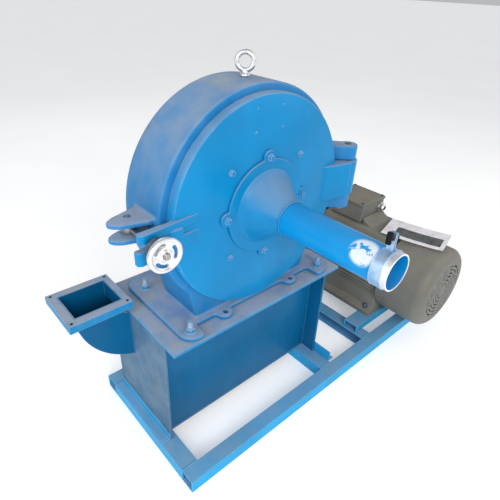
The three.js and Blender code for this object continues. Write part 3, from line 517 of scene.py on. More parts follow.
def enamel(name, colour, dust, settle, film, rough=0.34, chips=0.35, cast_skin=0.12, streak=0.0):
    """Brushed or sprayed alkyd enamel on iron: a glossy colour that dulls where meal dust lies on it.

    settle is the dust on what faces up, film the thin dust everywhere, chips the rubbed edges.
    """
    material, tree, shader = blank(name, Coat_Weight=0.08, Coat_Roughness=0.15, IOR=1.5, Specular_IOR_Level=0.12)
    place = add(tree, "ShaderNodeTexCoord").outputs["Object"]
    shape = add(tree, "ShaderNodeNewGeometry")
    up = add(tree, "ShaderNodeSeparateXYZ", links={0: shape.outputs["Normal"]}).outputs["Z"]
    broad = grain(tree, place, 210, 3.0)
    patch = grain(tree, place, 62, 5.0, 0.60)
    speck = grain(tree, place, 7, 4.0, 0.7)
    darker = tuple(c * 0.74 for c in colour[:3]) + (1.0,)
    body = blend_colour(tree, ramped(tree, broad, 0.35, 0.68, 0.0, 0.6), colour, darker)
    # Dust settles evenly on what faces up, thins out on steep faces and is thinner where hands have wiped.
    lying = ramped(tree, up, 0.02, 0.95, 0.0, settle)
    lying = sums(tree, "ADD", lying, ramped(tree, up, 0.93, 0.995, 0.0, settle * 0.45))
    lain = sums(tree, "MULTIPLY", lying, ramped(tree, patch, 0.30, 0.62, 0.68, 1.0))
    haze = ramped(tree, patch, 0.34, 0.74, film * 0.35, film)
    dusty = sums(tree, "ADD", lain, haze)
    flecks = ramped(tree, speck, 0.72, 0.82, 0.0, 0.06 + settle * 0.3 + film * 0.3)
    dusty = sums(tree, "MAXIMUM", dusty, flecks)
    if streak:
        runs = grain(tree, place, 30, 3.0, 0.6, (1.0, 1.0, 0.14))
        dusty = sums(tree, "ADD", dusty, ramped(tree, runs, 0.50, 0.80, 0.0, streak))
    tint = grain(tree, place, 120, 4.0)
    warm = (min(1, dust[0] * 1.08), dust[1], dust[2] * 0.86, 1.0)
    powder = blend_colour(tree, ramped(tree, tint, 0.40, 0.72), dust, warm)
    shown = blend_colour(tree, dusty, body, powder)
    # Edges are rubbed to a paler, thinner paint.
    rubbed = sums(tree, "MULTIPLY", edge_mask(tree, 2.4), ramped(tree, patch, 0.30, 0.60, 0.3, 1.0))
    rubbed = sums(tree, "MULTIPLY", rubbed, chips)
    shown = blend_colour(tree, rubbed, shown, linear("#BCD0E2"))
    tree.links.new(shown, shader.inputs["Base Color"])
    gloss = add(tree, "ShaderNodeMapRange", {"To Min": rough, "To Max": 0.82}, {"Value": dusty}).outputs[0]
    gloss = sums(tree, "ADD", gloss, ramped(tree, speck, 0.45, 0.75, 0.0, 0.10))
    tree.links.new(gloss, shader.inputs["Roughness"])
    # Sand-cast skin under brushed paint, with the fine orange peel of the paint on top.
    skin = grain(tree, place, 16, 4.0, 0.6)
    peel = grain(tree, place, 3.2, 2.0, 0.5)
    first = add(tree, "ShaderNodeBump", {"Strength": cast_skin, "Distance": 0.0016}, {"Height": skin})
    second = add(tree, "ShaderNodeBump", {"Strength": 0.10, "Distance": 0.0004},
                 {"Height": peel, "Normal": first.outputs[0]})
    third = add(tree, "ShaderNodeBump", {"Strength": 0.25, "Distance": 0.0006},
                {"Height": dusty, "Normal": second.outputs[0]})
    tree.links.new(third.outputs[0], shader.inputs["Normal"])
    return material


def worn_patch(material, spot, reach_mm, strength):
    """Rubs the paint away to a pale primer in a ragged patch round one spot."""
    tree = material.node_tree
    shader = next(node for node in tree.nodes if node.type == "BSDF_PRINCIPLED")
    paint = shader.inputs["Base Color"].links[0].from_socket
    place = add(tree, "ShaderNodeTexCoord").outputs["Object"]
    gap = add(tree, "ShaderNodeVectorMath", {"operation": "DISTANCE", 1: tuple(spot)}, {0: place}).outputs["Value"]
    near = ramped(tree, gap, reach_mm * MM, reach_mm * MM * 0.7)
    torn = ramped(tree, grain(tree, place, 18, 5.0, 0.60), 0.38, 0.46)
    shown = blend_colour(tree, sums(tree, "MULTIPLY", sums(tree, "MULTIPLY", near, torn), strength), paint,
                         linear("#DDE4EE"))
    tree.links.new(shown, shader.inputs["Base Color"])
    return material


def metal(name, colour, rough, grime, scratch_mm=4.0, dull=0.25, bump=0.08):
    """Bare or plated metal: a bright reflection broken by fine scratches and darker grime."""
    material, tree, shader = blank(name, Metallic=1.0)
    place = add(tree, "ShaderNodeTexCoord").outputs["Object"]
    fine = grain(tree, place, scratch_mm, 4.0, 0.6)
    broad = grain(tree, place, 34, 4.0, 0.6)
    smear = ramped(tree, broad, 0.42, 0.72, 0.0, dull)
    tree.links.new(blend_colour(tree, smear, colour, grime), shader.inputs["Base Color"])
    gloss = ramped(tree, fine, 0.30, 0.75, rough, min(1.0, rough + 0.18))
    gloss = sums(tree, "ADD", gloss, sums(tree, "MULTIPLY", smear, 0.5))
    tree.links.new(gloss, shader.inputs["Roughness"])
    dent = add(tree, "ShaderNodeBump", {"Strength": bump, "Distance": 0.0005}, {"Height": fine})
    tree.links.new(dent.outputs[0], shader.inputs["Normal"])
    return material


def iron(name, colour, rust, rough=0.62):
    """Grey cast iron as it left the sand: dark, pitted, with a bloom of rust."""
    material, tree, shader = blank(name, Metallic=0.55)
    place = add(tree, "ShaderNodeTexCoord").outputs["Object"]
    pits = grain(tree, place, 5, 5.0, 0.65)
    bloom = grain(tree, place, 40, 5.0, 0.6)
    shown = blend_colour(tree, ramped(tree, bloom, 0.48, 0.70, 0.0, 0.75), colour, rust)
    tree.links.new(shown, shader.inputs["Base Color"])
    tree.links.new(ramped(tree, pits, 0.3, 0.7, rough, 0.9), shader.inputs["Roughness"])
    dent = add(tree, "ShaderNodeBump", {"Strength": 0.3, "Distance": 0.0008}, {"Height": pits})
    tree.links.new(dent.outputs[0], shader.inputs["Normal"])
    return material


def belt_rubber():
    """Wrapped V-belt rubber: black woven cover, dusty on its crowns and shiny at its flanks."""
    material, tree, shader = blank("wrapped_belt_rubber", IOR=1.52)
    place = add(tree, "ShaderNodeTexCoord").outputs["Object"]
    # Real threads lie 1 mm apart; they are drawn at 3 mm so that they show.
    weave = add(tree, "ShaderNodeTexWave", {"Scale": per_metre(3.0) / 6.28, "Distortion": 1.5, "Detail": 2.0},
                {"Vector": place}).outputs["Fac"]
    bloom = grain(tree, place, 60, 4.0)
    shown = blend_colour(tree, ramped(tree, bloom, 0.40, 0.75, 0.05, 0.5), linear("#1B1B1C"), linear("#6A675F"))
    tree.links.new(shown, shader.inputs["Base Color"])
    tree.links.new(ramped(tree, weave, 0.0, 1.0, 0.6, 0.85), shader.inputs["Roughness"])
    dent = add(tree, "ShaderNodeBump", {"Strength": 0.25, "Distance": 0.0004}, {"Height": weave})
    tree.links.new(dent.outputs[0], shader.inputs["Normal"])
    return material


def card_paper():
    """Laminated card: a white sheet with a soft sheen, thumbed and dusty at its edges."""
    material, tree, shader = blank("laminated_card", IOR=1.49, Coat_Weight=0.4, Coat_Roughness=0.2)
    place = add(tree, "ShaderNodeTexCoord").outputs["Object"]
    marks = grain(tree, place, 35, 5.0, 0.6)
    shown = blend_colour(tree, ramped(tree, marks, 0.40, 0.75), linear("#F1EEF2"), linear("#C9C3C6"))
    tree.links.new(shown, shader.inputs["Base Color"])
    tree.links.new(ramped(tree, marks, 0.3, 0.7, 0.35, 0.6), shader.inputs["Roughness"])
    return material


def foil_panel():
    """Brushed aluminium foil of a rating plate with no lettering, dull and smeared."""
    return metal("brushed_foil", linear("#7D8182"), 0.38, linear("#4D4C49"), 2.0, 0.8)


def plain_floor():
    """Plain pale studio floor, matt, with the slightest mottle."""
    material, tree, shader = blank("matt_floor", IOR=1.4, Emission_Color=linear("#FFFFFF"), Emission_Strength=0.32)
    place = add(tree, "ShaderNodeTexCoord").outputs["Object"]
    cloud = grain(tree, place, 900, 3.0)
    shown = blend_colour(tree, ramped(tree, cloud, 0.3, 0.7), linear("#F4F4F4"), linear("#EFEFEF"))
    tree.links.new(shown, shader.inputs["Base Color"])
    tree.links.new(ramped(tree, cloud, 0.3, 0.7, 0.7, 0.8), shader.inputs["Roughness"])
    return material


FINISH = {}


def make_finishes(paint):
    dust = tuple(paint.dust)
    soot = tuple(paint.soot)
    FINISH["door"] = enamel("azure_enamel_on_iron", tuple(paint.azure), dust, 0.50, 0.01, 0.30, 0.75, 0.10)
    FINISH["cone"] = enamel("azure_enamel_on_spun_steel", tuple(paint.azure), dust, 0.42, 0.02, 0.30, 0.35, 0.08)
    FINISH["tube"] = enamel("azure_enamel_on_pipe", linear("#0096DC"), dust, 0.06, 0.01, 0.28, 0.55, 0.05)
    spot = ORIGIN + Vector((AXIS_X - 32, -358, AXIS_Z + 32)) * MM
    worn_patch(FINISH["tube"], spot, 38, 0.95)
    FINISH["drum"] = enamel("dusty_enamel_on_casting", tuple(paint.drum), dust, 0.52, 0.13, 0.40, 0.40, 0.16)
    FINISH["plate"] = enamel("enamel_on_rolled_plate", tuple(paint.plate), dust, 0.45, 0.01, 0.38, 0.45, 0.07,
                             streak=0.02)
    # The left plate gets its own paler, greyer copy of the plate paint with a heavy pale film: meal dust and painted
    # sheen from the light on the left.
    FINISH["end_plate"] = enamel("dust_and_sheen_enamel_on_left_plate", linear("#2C6384"), dust, 0.50, 0.34, 0.52, 0.40, 0.07,
                                 streak=0.04)
    FINISH["flange"] = enamel("dusty_enamel_on_flange", linear("#0084BC"), dust, 0.66, 0.12, 0.45, 0.60, 0.10)
    FINISH["rail"] = enamel("thin_paint_on_channel", tuple(paint.rail), dust, 0.32, 0.05, 0.46, 0.55, 0.06,
                            streak=0.05)
    FINISH["motor"] = enamel("grey_enamel_on_motor", tuple(paint.motor), soot, 0.45, 0.25, 0.50, 0.25, 0.18)
    FINISH["steel"] = metal("machined_steel", linear("#A9A8A4"), 0.28, linear("#5B554D"), 3.0, 0.5)
    FINISH["zinc"] = metal("bright_zinc_plate", linear("#E2E3E6"), 0.20, linear("#9C9C9E"), 5.0, 0.35)
    FINISH["band"] = metal("painted_clamp_band", linear("#B9D3EC"), 0.36, linear("#6FA6CF"), 7.0, 0.6)
    FINISH["polished"] = metal("polished_cast_aluminium", linear("#EDEDEE"), 0.24, linear("#B5B0AE"), 6.0, 0.4)
    FINISH["bolt"] = metal("oiled_bolt_steel", linear("#6F7F90"), 0.40, linear("#3C4A58"), 3.0, 0.6)
    FINISH["worn"] = metal("worn_pipe_end", linear("#F0F1F4"), 0.42, linear("#C4CCDA"), 6.0, 0.3)
    # This black also colours the painted shadows in the outlet flange's bolt holes.
    FINISH["black"] = metal("black_oxide_steel_and_hole_shadow", linear("#26262A"), 0.42, linear("#12120F"), 3.0, 0.4)
    FINISH["iron"] = iron("sand_cast_iron", linear("#4E4A46"), linear("#6B4A34"))
    FINISH["hammer"] = iron("forged_hammer_steel", linear("#6A665F"), linear("#7A5A40"), 0.5)
    FINISH["rubber"] = belt_rubber()
    FINISH["card"] = card_paper()
    FINISH["foil"] = foil_panel()
    FINISH["floor"] = plain_floor()


# The mill's castings

def foot_outline():
    """The casing's foot: rounded corners, a set-back front ledge and two bolt bosses."""
    x0, x1, y0, y1 = 40, 630, -58, 292
    r = 42
    ledge = -8
    pad = (x0 + 62, x1 - 62)
    points = [(x0 + r, y0), (pad[0] - 6, y0), (pad[0], y0 + 6), (pad[0] + 4, ledge)]
    for boss in (AXIS_X - 135, AXIS_X + 135):
        points.append((boss - 33, ledge))
        points += arc((boss, ledge - 4), 27, 180, 360, 16)
        points.append((boss + 33, ledge))
    points += [(pad[1] - 4, ledge), (pad[1], y0 + 6), (pad[1] + 6, y0)]
    points += arc((x1 - r, y0 + r), r, -90, 0, 8)
    points += arc((x1 - r, y1 - r), r, 0, 90, 8)
    points += arc((x0 + r, y1 - r), r, 90, 180, 8)
    points += arc((x0 + r, y0 + r), r, 180, 270, 8)[:-1]
    return points


def drum_shell():
    """The drum's wall and back as one turned ring, with a large round shoulder at the back."""
    r = 316
    back = 192
    f = 34
    profile = [(286, 13), (287, 12), (313, 12), (316, 15), (316, back - f)]
    profile += [(r - f + u, back - f + v) for u, v in arc((0, 0), f, 0, 90, 12)[1:]]
    profile += [(60, back), (34, back), (29, back), (29, 172), (296, 172), (302, 166), (302, 26), (300, 24),
                (286, 24)]
    return turned(profile, MILL_AXIS, 180)


class MILL_OT_casing(bpy.types.Operator):
    """Cast drum, neck and foot in one piece, with the lugs of the latch and the hinge"""
    bl_idname = "mill.casing"
    bl_label = "Casing"

    def execute(self, context):
        voxel = context.scene.mill_sizes.voxel / MM
        neck = prism([(AXIS_X - 212, FOOT_LOW), (AXIS_X - 250, 590), (AXIS_X + 250, 590), (AXIS_X + 212, FOOT_LOW)],
                     12, 174, "y")
        neck = drilled(neck, [turned([(0, 0), (303, 0), (303, 173), (0, 173)], MILL_AXIS, 180),
                              slab(*THROAT)])
        foot = prism(foot_outline(), FOOT_LOW, FOOT_TOP, "z", 3.0)
        foot = drilled(foot, [slab(*THROAT)])
        front = (LATCH_X - 32, LATCH_Y - 34)
        rear = (LATCH_X - 28, LATCH_Y + 18)
        lug = [(48, 30), (LATCH_X + 30, LATCH_Y - 52), front]
        lug += curve(front, (LATCH_X - 80, LATCH_Y - 4), rear, 16)
        lug += [rear, (LATCH_X + 28, LATCH_Y + 35), (48, 150)]
        lugs = [prism(lug, LATCH_Z + s, LATCH_Z + s + 13, "z", 2.0) for s in (14, -27)]
        hinge = [(617, 24), (HINGE_X - 8, HINGE_Y - 30)] + arc((HINGE_X, HINGE_Y), 30, -104, 81, 18)
        hinge += [(641, 96), (617, 96)]
        hinges = [prism(hinge, z0, z1, "z", 2.5) for z0, z1 in ((632, 678), (796, 840))]
        body = cast([drum_shell(), neck, foot, *lugs, *hinges], voxel, 4)
        holes = [plug(8.7, 600, 900, (LATCH_X, LATCH_Y), 32),
                 plug(10.7, 600, 900, (HINGE_X, HINGE_Y), 32),
                 plug(6.8, 1000, 1100, (AXIS_X, 84), 24)]
        holes += [plug(8, 410, 440, (AXIS_X + s, -20), 24) for s in (-135, 135)]
        body = drilled(body, holes)
        set_down("casing_casting", body, FINISH["drum"], "base", ["mill_casing"], 60)
        return {"FINISHED"}


class MILL_OT_door(bpy.types.Operator):
    """Front door: a turned disc with a rounded rim, its two latch ears and its hinge arm"""
    bl_idname = "mill.door"
    bl_label = "Front door"

    def execute(self, context):
        face = DOOR_FACE
        profile = [(95, face + 2), (97, face), (289, face), (293.5, face + 1.6), (296.2, face + 4.8), (297, face + 9),
                   (297, 6), (294.5, 9), (294.5, 11.65), (95, 11.65)]
        disc = turned(profile, MILL_AXIS, 192)
        set_down("door_disc", disc, FINISH["door"], "door", ["front_door"], 30)
        ears = [self.ear(-64, 704, 739.5), self.ear(-55, 758.5, 781)]
        web = slab((26, -32, 735), (62, -4, 763), 3.0)
        latch = cast([*ears, web], 1.6, 3)
        set_down("door_latch_ears", latch, FINISH["door"], "door", (), 60)
        arm = [(560, face + 6), (582, -24), (HINGE_X - 20, HINGE_Y - 40)]
        arm += arc((HINGE_X, HINGE_Y), 36, -112, 112, 24) + [(640, 4), (560, 4)]
        block = cast([prism(arm, 680, 794, "z", 4.0, 4)], 2.2, 3)
        block = drilled(block, [plug(10.7, 600, 900, (HINGE_X, HINGE_Y), 32)])
        set_down("door_hinge_arm", block, FINISH["door"], "door", (), 60)
        return {"FINISHED"}

    @staticmethod
    def ear(end, low, high):
        """A bar from the door out to the swing bolt, thinning onto the door's face."""
        outline = [(126, -15), (112, -19), (end + 10, -38), (end, -32), (end, -20), (end + 4, -16), (30, -12),
                   (60, 4), (120, 4)]
        return prism(outline, low, high, "z", 2.5, 3)


class MILL_OT_door_bolts(bpy.types.Operator):
    """Painted bolts that hold the liner and the cone pad, and the stubs of a missing plate's rivets"""
    bl_idname = "mill.door_bolts"
    bl_label = "Door bolts"

    def execute(self, context):
        across = context.scene.mill_sizes.door_bolt / MM
        face = DOOR_FACE
        heads = []
        for i, (x, z, _) in enumerate(around(MILL_AXIS, 172, 4, 45)):
            heads.append(fastened("bolt", facing((x, face, z), (0, -1, 0)), across, 6, turn=13 * i))
        for i, (x, z, _) in enumerate(around(MILL_AXIS, 138, 4)):
            heads.append(fastened("bolt", facing((x, face - 8, z), (0, -1, 0)), across * 1.1, 7, turn=21 * i))
        set_down("door_bolt_heads", joined(heads), FINISH["door"], "door", (), 35)
        rivets = []
        for x, z in ((-45, 207), (45, 207), (-43.5, 263), (43.5, 263)):
            dome = [(0, face - 2.4), (2.2, face - 2.1), (3.6, face - 1.1), (4.2, face + 0.2), (0, face + 0.2)]
            rivets.append(turned(dome, (AXIS_X + x, AXIS_Z + z), 20))
        set_down("door_rivets", joined(rivets), FINISH["door"], "door", (), 40)
        return {"FINISHED"}


class MILL_OT_inlet(bpy.types.Operator):
    """Lobed pad, flared cone and inlet tube, with the weld where the cone meets the tube"""
    bl_idname = "mill.inlet"
    bl_label = "Inlet"

    def execute(self, context):
        face = DOOR_FACE
        pad_front = face - 8
        tube_r = 45
        pad = [turned([(88, face - FIT), (134, face - FIT), (134, pad_front + 1.5), (132.5, pad_front),
                       (88, pad_front)], MILL_AXIS, 128)]
        for x, z, _ in around(MILL_AXIS, 138, 4):
            pad.append(turned([(0, face - FIT), (20, face - FIT), (20, pad_front + 1.5), (18.5, pad_front),
                               (0, pad_front)], (x, z), 40))
        flare = [(88, pad_front + 1), (107, pad_front + 1), (105, pad_front - 2), (100, pad_front - 5)]
        steps = 14
        end = -116
        for i in range(steps + 1):
            s = i / steps
            fall = (1 - s) ** 1.18
            flare.append((tube_r + 2 + (95 - tube_r - 2) * fall, pad_front - 8 + (end - pad_front + 8) * s))
        flare += [(tube_r - 4, end), (tube_r, end + 30), (84, pad_front - 3)]
        cone = turned(flare, MILL_AXIS, 128)
        set_down("cone_pad", cast(pad, 2.0, 2), FINISH["door"], "door", (), 50)
        set_down("inlet_flare", cone, FINISH["cone"], "door", ["inlet_cone"], 40)
        mouth = -430
        bare = mouth + 24
        tube = turned([(41, mouth + 1.2), (43.9, mouth + 1.2), (43.9, bare), (45, bare), (45, end - FIT),
                       (41, end - FIT)], MILL_AXIS, 96)
        set_down("inlet_pipe", tube, FINISH["tube"], "door", ["inlet_tube"], 40)
        end_ring = turned([(41.2, mouth + 1.1), (41.2, mouth + 0.4), (41.8, mouth), (44.2, mouth), (45, mouth + 0.8),
                           (45, bare - 0.1), (44, bare - 0.1), (44, mouth + 1.1)], MILL_AXIS, 96)
        set_down("bare_pipe_end", end_ring, FINISH["worn"], "door", (), 40)
        circle = [(AXIS_X + (tube_r + 1.5) * math.cos(t), end, AXIS_Z + (tube_r + 1.5) * math.sin(t))
                  for t in (2 * math.pi * i / 48 for i in range(48))]
        set_down("cone_weld", bead(circle, 3.2, 5, True, 1.0), FINISH["cone"], "door", (), 70)
        return {"FINISHED"}


class MILL_OT_clamp(bpy.types.Operator):
    """Bolted hose clamp at the tube's mouth, with rolled edges"""
    bl_idname = "mill.clamp"
    bl_label = "Hose clamp"

    def execute(self, context):
        dress("hose_clamp", FINISH["band"], 0.6)
        dress("clamp_bolt", FINISH["black"], 0.8)
        low, high = span("hose_clamp")
        rim_r = 46.9
        rims = []
        for y in (low.y, high.y):
            circle = [(AXIS_X + rim_r * math.cos(t), y, AXIS_Z + rim_r * math.sin(t))
                      for t in (math.radians(97 + 346 * i / 60) for i in range(61))]
            rims.append(bead(circle, 1.0, 3, False, 1.0))
        set_down("clamp_rolled_edges", joined(rims), FINISH["band"], "door", (), 60)
        return {"FINISHED"}


class MILL_OT_latch(bpy.types.Operator):
    """Swing bolt with its thread, the dished hand wheel with three slots, and the pin and washer"""
    bl_idname = "mill.latch"
    bl_label = "Latch"

    def execute(self, context):
        centre = (LATCH_X, LATCH_Z)
        rod = threaded(7.9, 0, 86, 2.35, 28)
        bmesh.ops.transform(rod, matrix=facing((LATCH_X, -12, LATCH_Z), (0, -1, 0)), verts=rod.verts)
        shank = turned([(0, -13), (7.6, -13), (8, -11), (8, LATCH_Y - 15), (0, LATCH_Y - 15)], centre, 32)
        half = 13.4
        eye = turned([(8.7, LATCH_Z - half), (19, LATCH_Z - half), (21, LATCH_Z - half + 2.5),
                      (21, LATCH_Z + half - 2.5), (19, LATCH_Z + half), (8.7, LATCH_Z + half)],
                     (LATCH_X, LATCH_Y), 48, "z")
        set_down("swing_bolt_thread", joined([rod, shank, eye]), FINISH["steel"], "latch_bolt",
                 ["swing_bolt"], 35)
        dress("latch_washer", FINISH["bolt"], 0.8)
        dress("latch_pin", FINISH["bolt"], 1.0)
        front = -92
        hub_back = span("latch_washer")[0].y - FIT
        profile = [(9, front - 1), (12.5, front - 1), (14.5, front + 1), (16.5, front + 3.6), (31.5, front + 3.6),
                   (34, front + 1.2), (36, front), (39.5, front), (41.8, front + 1.4), (43, front + 4.5),
                   (43, front + 8.5), (41.8, front + 11.5), (39, front + 13), (34, front + 11.5), (17, front + 11),
                   (15, front + 16), (14, hub_back), (9, hub_back)]
        wheel = turned(profile, centre, 96)
        slots = []
        for i in range(3):
            mid = 4 + 120 * i
            outline = arc(centre, 30.5, mid - 30, mid + 30, 14)
            outline += arc(self.round_end(centre, mid + 30), 4.6, mid + 30, mid + 210, 8)[1:-1]
            outline += arc(centre, 21.3, mid + 30, mid - 30, 14)
            outline += arc(self.round_end(centre, mid - 30), 4.6, mid - 150, mid, 8)[1:-1]
            slots.append(prism(outline, front - 5, front + 20))
        wheel = drilled(wheel, slots)
        soften_edges(wheel, 0.7, 2, 50)
        set_down("hand_wheel", wheel, FINISH["polished"], "wheel", ["handwheel"], 35)
        return {"FINISHED"}

    @staticmethod
    def round_end(centre, angle):
        """Middle of the round end of a slot."""
        t = math.radians(angle)
        return (centre[0] + 25.9 * math.cos(t), centre[1] + 25.9 * math.sin(t))


class MILL_OT_eye_bolt(bpy.types.Operator):
    """Forged and plated lifting eye on the crown of the drum"""
    bl_idname = "mill.eye_bolt"
    bl_label = "Lifting eye"

    def execute(self, context):
        crown = AXIS_Z + 316
        spot = (AXIS_X, 84)
        ring = turned(arc((21, 0), 6.3, 0, 360, 24)[:-1], (0, 0), 64, "z")
        stand = Matrix.Translation((AXIS_X, 84, crown + 36)) @ Matrix.Rotation(math.radians(-45), 4, "Z")
        bmesh.ops.transform(ring, matrix=stand @ Matrix.Rotation(math.radians(90), 4, "X"), verts=ring.verts)
        neck = turned([(0, crown - 8), (6, crown - 8), (6, crown + FIT), (13, crown + FIT), (13.5, crown + 5),
                       (11, crown + 9), (9, crown + 13), (8.5, crown + 19), (0, crown + 19)], spot, 40, "z")
        set_down("lifting_eye", cast([ring, neck], 0.9, 5), FINISH["zinc"], "base", ["eye_bolt"], 60)
        return {"FINISHED"}


class MILL_OT_plate_box(bpy.types.Operator):
    """Plate box, its flanges and angles, and the outlet elbow with its angle-iron flange"""
    bl_idname = "mill.plate_box"
    bl_label = "Plate box and outlet"

    def execute(self, context):
        # The left plate wears the paler, greyer copy of the plate paint: dust and painted sheen.
        dress("box_left_plate", FINISH["end_plate"], 1.2)
        dress("box_right_plate", FINISH["plate"], 1.2)
        for node in ("box_front_panel", "box_rear_panel", "box_floor"):
            dress(node, FINISH["plate"], 0.8)
        dress("box_top_flange", FINISH["flange"], 1.6)
        for node in ("box_foot_angle_left", "box_foot_angle_right"):
            dress(node, FINISH["rail"], 0.8)
        dress("outlet_elbow", FINISH["plate"], 0.5)
        dress("outlet_flange", FINISH["flange"], 1.4)
        return {"FINISHED"}


class MILL_OT_welds(bpy.types.Operator):
    """Weld beads along the seams of the box, the elbow and the frame"""
    bl_idname = "mill.welds"
    bl_label = "Welds"

    def execute(self, context):
        r = context.scene.mill_sizes.bead / MM
        left_high = span("box_left_plate")[1]
        panel_low, _ = span("box_front_panel")
        right_low, _ = span("box_right_plate")
        box_top = left_high.z
        x0, x1 = left_high.x, right_low.x
        seams = [[(x0, panel_low.y, 4), (x0, panel_low.y, box_top - 2)],
                 [(x1, panel_low.y, 4), (x1, panel_low.y, box_top - 2)],
                 [(x0, panel_low.y, box_top), (x1, panel_low.y, box_top)],
                 [(x0 + 4, panel_low.y, 1.5), (x1 - 4, panel_low.y, 1.5)]]
        back = span("box_rear_panel")[1].y
        seams += [[(x0, back, 4), (x0, back, box_top - 2)], [(x1, back, 4), (x1, back, box_top - 2)]]
        set_down("box_welds", joined([bead(s, r, i) for i, s in enumerate(seams)]), FINISH["plate"], "base",
                 (), 70)
        duct_low, duct_high = span("outlet_elbow")
        mouth_low = span("outlet_flange")[0]
        edge = [(0, duct_low.y - 0.5, duct_low.z + 4), (0, duct_low.y - 0.5, box_top - 3)]
        under = [(0, duct_low.y, duct_low.z), (0, duct_high.y, duct_low.z)]
        mouth_z = mouth_low.z + 2
        rim = [(duct_low.x, duct_low.y, mouth_z), (-16, duct_low.y, mouth_z)]
        set_down("elbow_welds", joined([bead(edge, r, 11), bead(under, r, 12), bead(rim, r * 0.8, 13)]),
                 FINISH["plate"], "base", (), 70)
        rail_high = span("front_rail")[1]
        rear_low = span("rear_rail")[0]
        seams = []
        for i in range(1, 5):
            low, high = span(f"cross_member_{i}")
            seams.append([(low.x + 2, rail_high.y, -0.4), (high.x - 2, rail_high.y, -0.4)])
            seams.append([(low.x + 2, rear_low.y, -0.4), (high.x - 2, rear_low.y, -0.4)])
        set_down("frame_welds", joined([bead(s, r * 0.9, 20 + i) for i, s in enumerate(seams)]), FINISH["rail"],
                 "base", (), 70)
        return {"FINISHED"}


class MILL_OT_foot_bolts(bpy.types.Operator):
    """Studs and nuts that hold the casing foot down, painted shadows in the bolt holes of the outlet flange, and the
    bolts of the motor feet
    """
    bl_idname = "mill.foot_bolts"
    bl_label = "Foot bolts"

    def execute(self, context):
        across = context.scene.mill_sizes.stud / MM
        spots = [(73, -25), (79, 222), (597, -25), (591, 222)]
        studs = [fastened("stud", facing((x, y, FOOT_TOP), (0, 0, 1)), across, 13, 22, turn=9 * i)
                 for i, (x, y) in enumerate(spots)]
        set_down("foot_studs", joined(studs), FINISH["flange"], "base", (), 35)
        # Black discs on the outlet flange where its bolt holes are: painted shadow of the holes.
        flange_low, flange_high = span("outlet_flange")
        spots = [(flange_low.x + 12, flange_low.y + 12), (flange_low.x + 12, flange_high.y - 12),
                 (flange_high.x - 12, flange_low.y + 12), (flange_high.x - 12, flange_high.y - 12)]
        holes = [plug(4.2, flange_high.z + 0.15, flange_high.z - 1, spot, 20) for spot in spots]
        set_down("flange_hole_shadows", joined(holes), FINISH["black"], "base", (), 35)
        bolts = []
        for x in (MOTOR_X - 157, MOTOR_X + 157):
            for y in (-30, 249):
                bolts.append(fastened("stud", facing((x, y, 34 + 22), (0, 0, 1)), 19, 10, 12, turn=x + y))
        set_down("motor_foot_bolts", joined(bolts), FINISH["bolt"], "base", (), 35)
        return {"FINISHED"}


class MILL_OT_frame(bpy.types.Operator):
    """Channel frame and the slide rails under the motor"""
    bl_idname = "mill.frame"
    bl_label = "Channel frame"

    def execute(self, context):
        nodes = ["front_rail", "rear_rail", "motor_rail_front", "motor_rail_rear"]
        nodes += [f"cross_member_{i}" for i in range(1, 5)]
        for node in nodes:
            dress(node, FINISH["rail"], 1.6, 3)
        return {"FINISHED"}


class MILL_OT_motor(bpy.types.Operator):
    """Finned motor body with its end shields and feet, terminal box and gland"""
    bl_idname = "mill.motor"
    bl_label = "Motor"

    def execute(self, context):
        fins = context.scene.mill_sizes.fins
        step = 360 / fins
        outline = []
        for i in range(fins):
            for r, share in ((151, -0.34), (165, -0.15), (165, 0.15), (151, 0.34)):
                t = math.radians(i * step + share * step)
                outline.append((MOTOR_X + r * math.cos(t), MOTOR_Z + r * math.sin(t)))
        ribs = prism(outline, -40, 306)
        core = turned([(26, -66), (118, -66), (148, -56), (157, -44), (157, -22), (152, -20), (152, 290),
                       (158, 292), (158, 326), (146, 336), (120, 345), (66, 352), (60, 363), (26, 363)],
                      MOTOR_AXIS, 96)
        feet = []
        for side in (-1, 1):
            shape = [(176, 34.35), (176, 56), (146, 64), (136, MOTOR_Z - 30), (90, MOTOR_Z - 60), (78, 34.35)]
            feet.append(prism([(MOTOR_X + side * x, z) for x, z in shape], -60, 279, "y", 3.0))
        saddle = slab((1076, 132, MOTOR_Z + 90), (1215, 278, MOTOR_Z + 172), 3.0)
        deck = MOTOR_Z + 167
        pedestal = prism([(MOTOR_X - 112, MOTOR_Z + 80), (MOTOR_X - 94, deck), (MOTOR_X + 94, deck),
                          (MOTOR_X + 112, MOTOR_Z + 80)], -44, 300, "y", 5.0)
        shoulder = prism([(119, deck - 8), (119, deck + 27), (97, deck + 10), (67, deck), (59, deck - 8)], 1076, 1222,
                         "x", 2.0)
        set_down("motor_body", joined([ribs, core, *feet, saddle, pedestal, shoulder]), FINISH["motor"], "base",
                 ["motor_frame"], 35)
        low, high = span("terminal_box")
        shell = slab((low.x + 3, 120 + 3, low.z), (high.x - 3, 290 - 3, high.z - 16), 6.0)
        lid = slab((low.x, 120, high.z - 14), (high.x, 290, high.z), 3.0)
        bosses = [plug(7, high.z - 60, high.z - 14, spot, 20)
                  for spot in ((low.x + 9, 129), (high.x - 9, 129), (low.x + 9, 281), (high.x - 9, 281))]
        set_down("terminal_housing", joined([shell, lid, *bosses]), FINISH["motor"], "base",
                 ["terminal_box"], 35)
        screws = [fastened("bolt", facing((x, y, high.z - 0.8), (0, 0, 1)), 9, 3.2, turn=x)
                  for x in (low.x + 11, high.x - 11) for y in (131, 279)]
        set_down("terminal_screws", joined(screws), FINISH["bolt"], "base", (), 35)
        gland = [(10, -6), (19, -6), (19, 3), (14.5, 4), (14.5, 9), (17.5, 10), (17.5, 19), (13, 24), (10, 24)]
        nut = turned(gland, (0, 0), 36, "z")
        bmesh.ops.transform(nut, matrix=facing((1196, 120, 430), (0, -1, 0)), verts=nut.verts)
        set_down("cable_gland", nut, FINISH["zinc"], "base", (), 35)
        return {"FINISHED"}


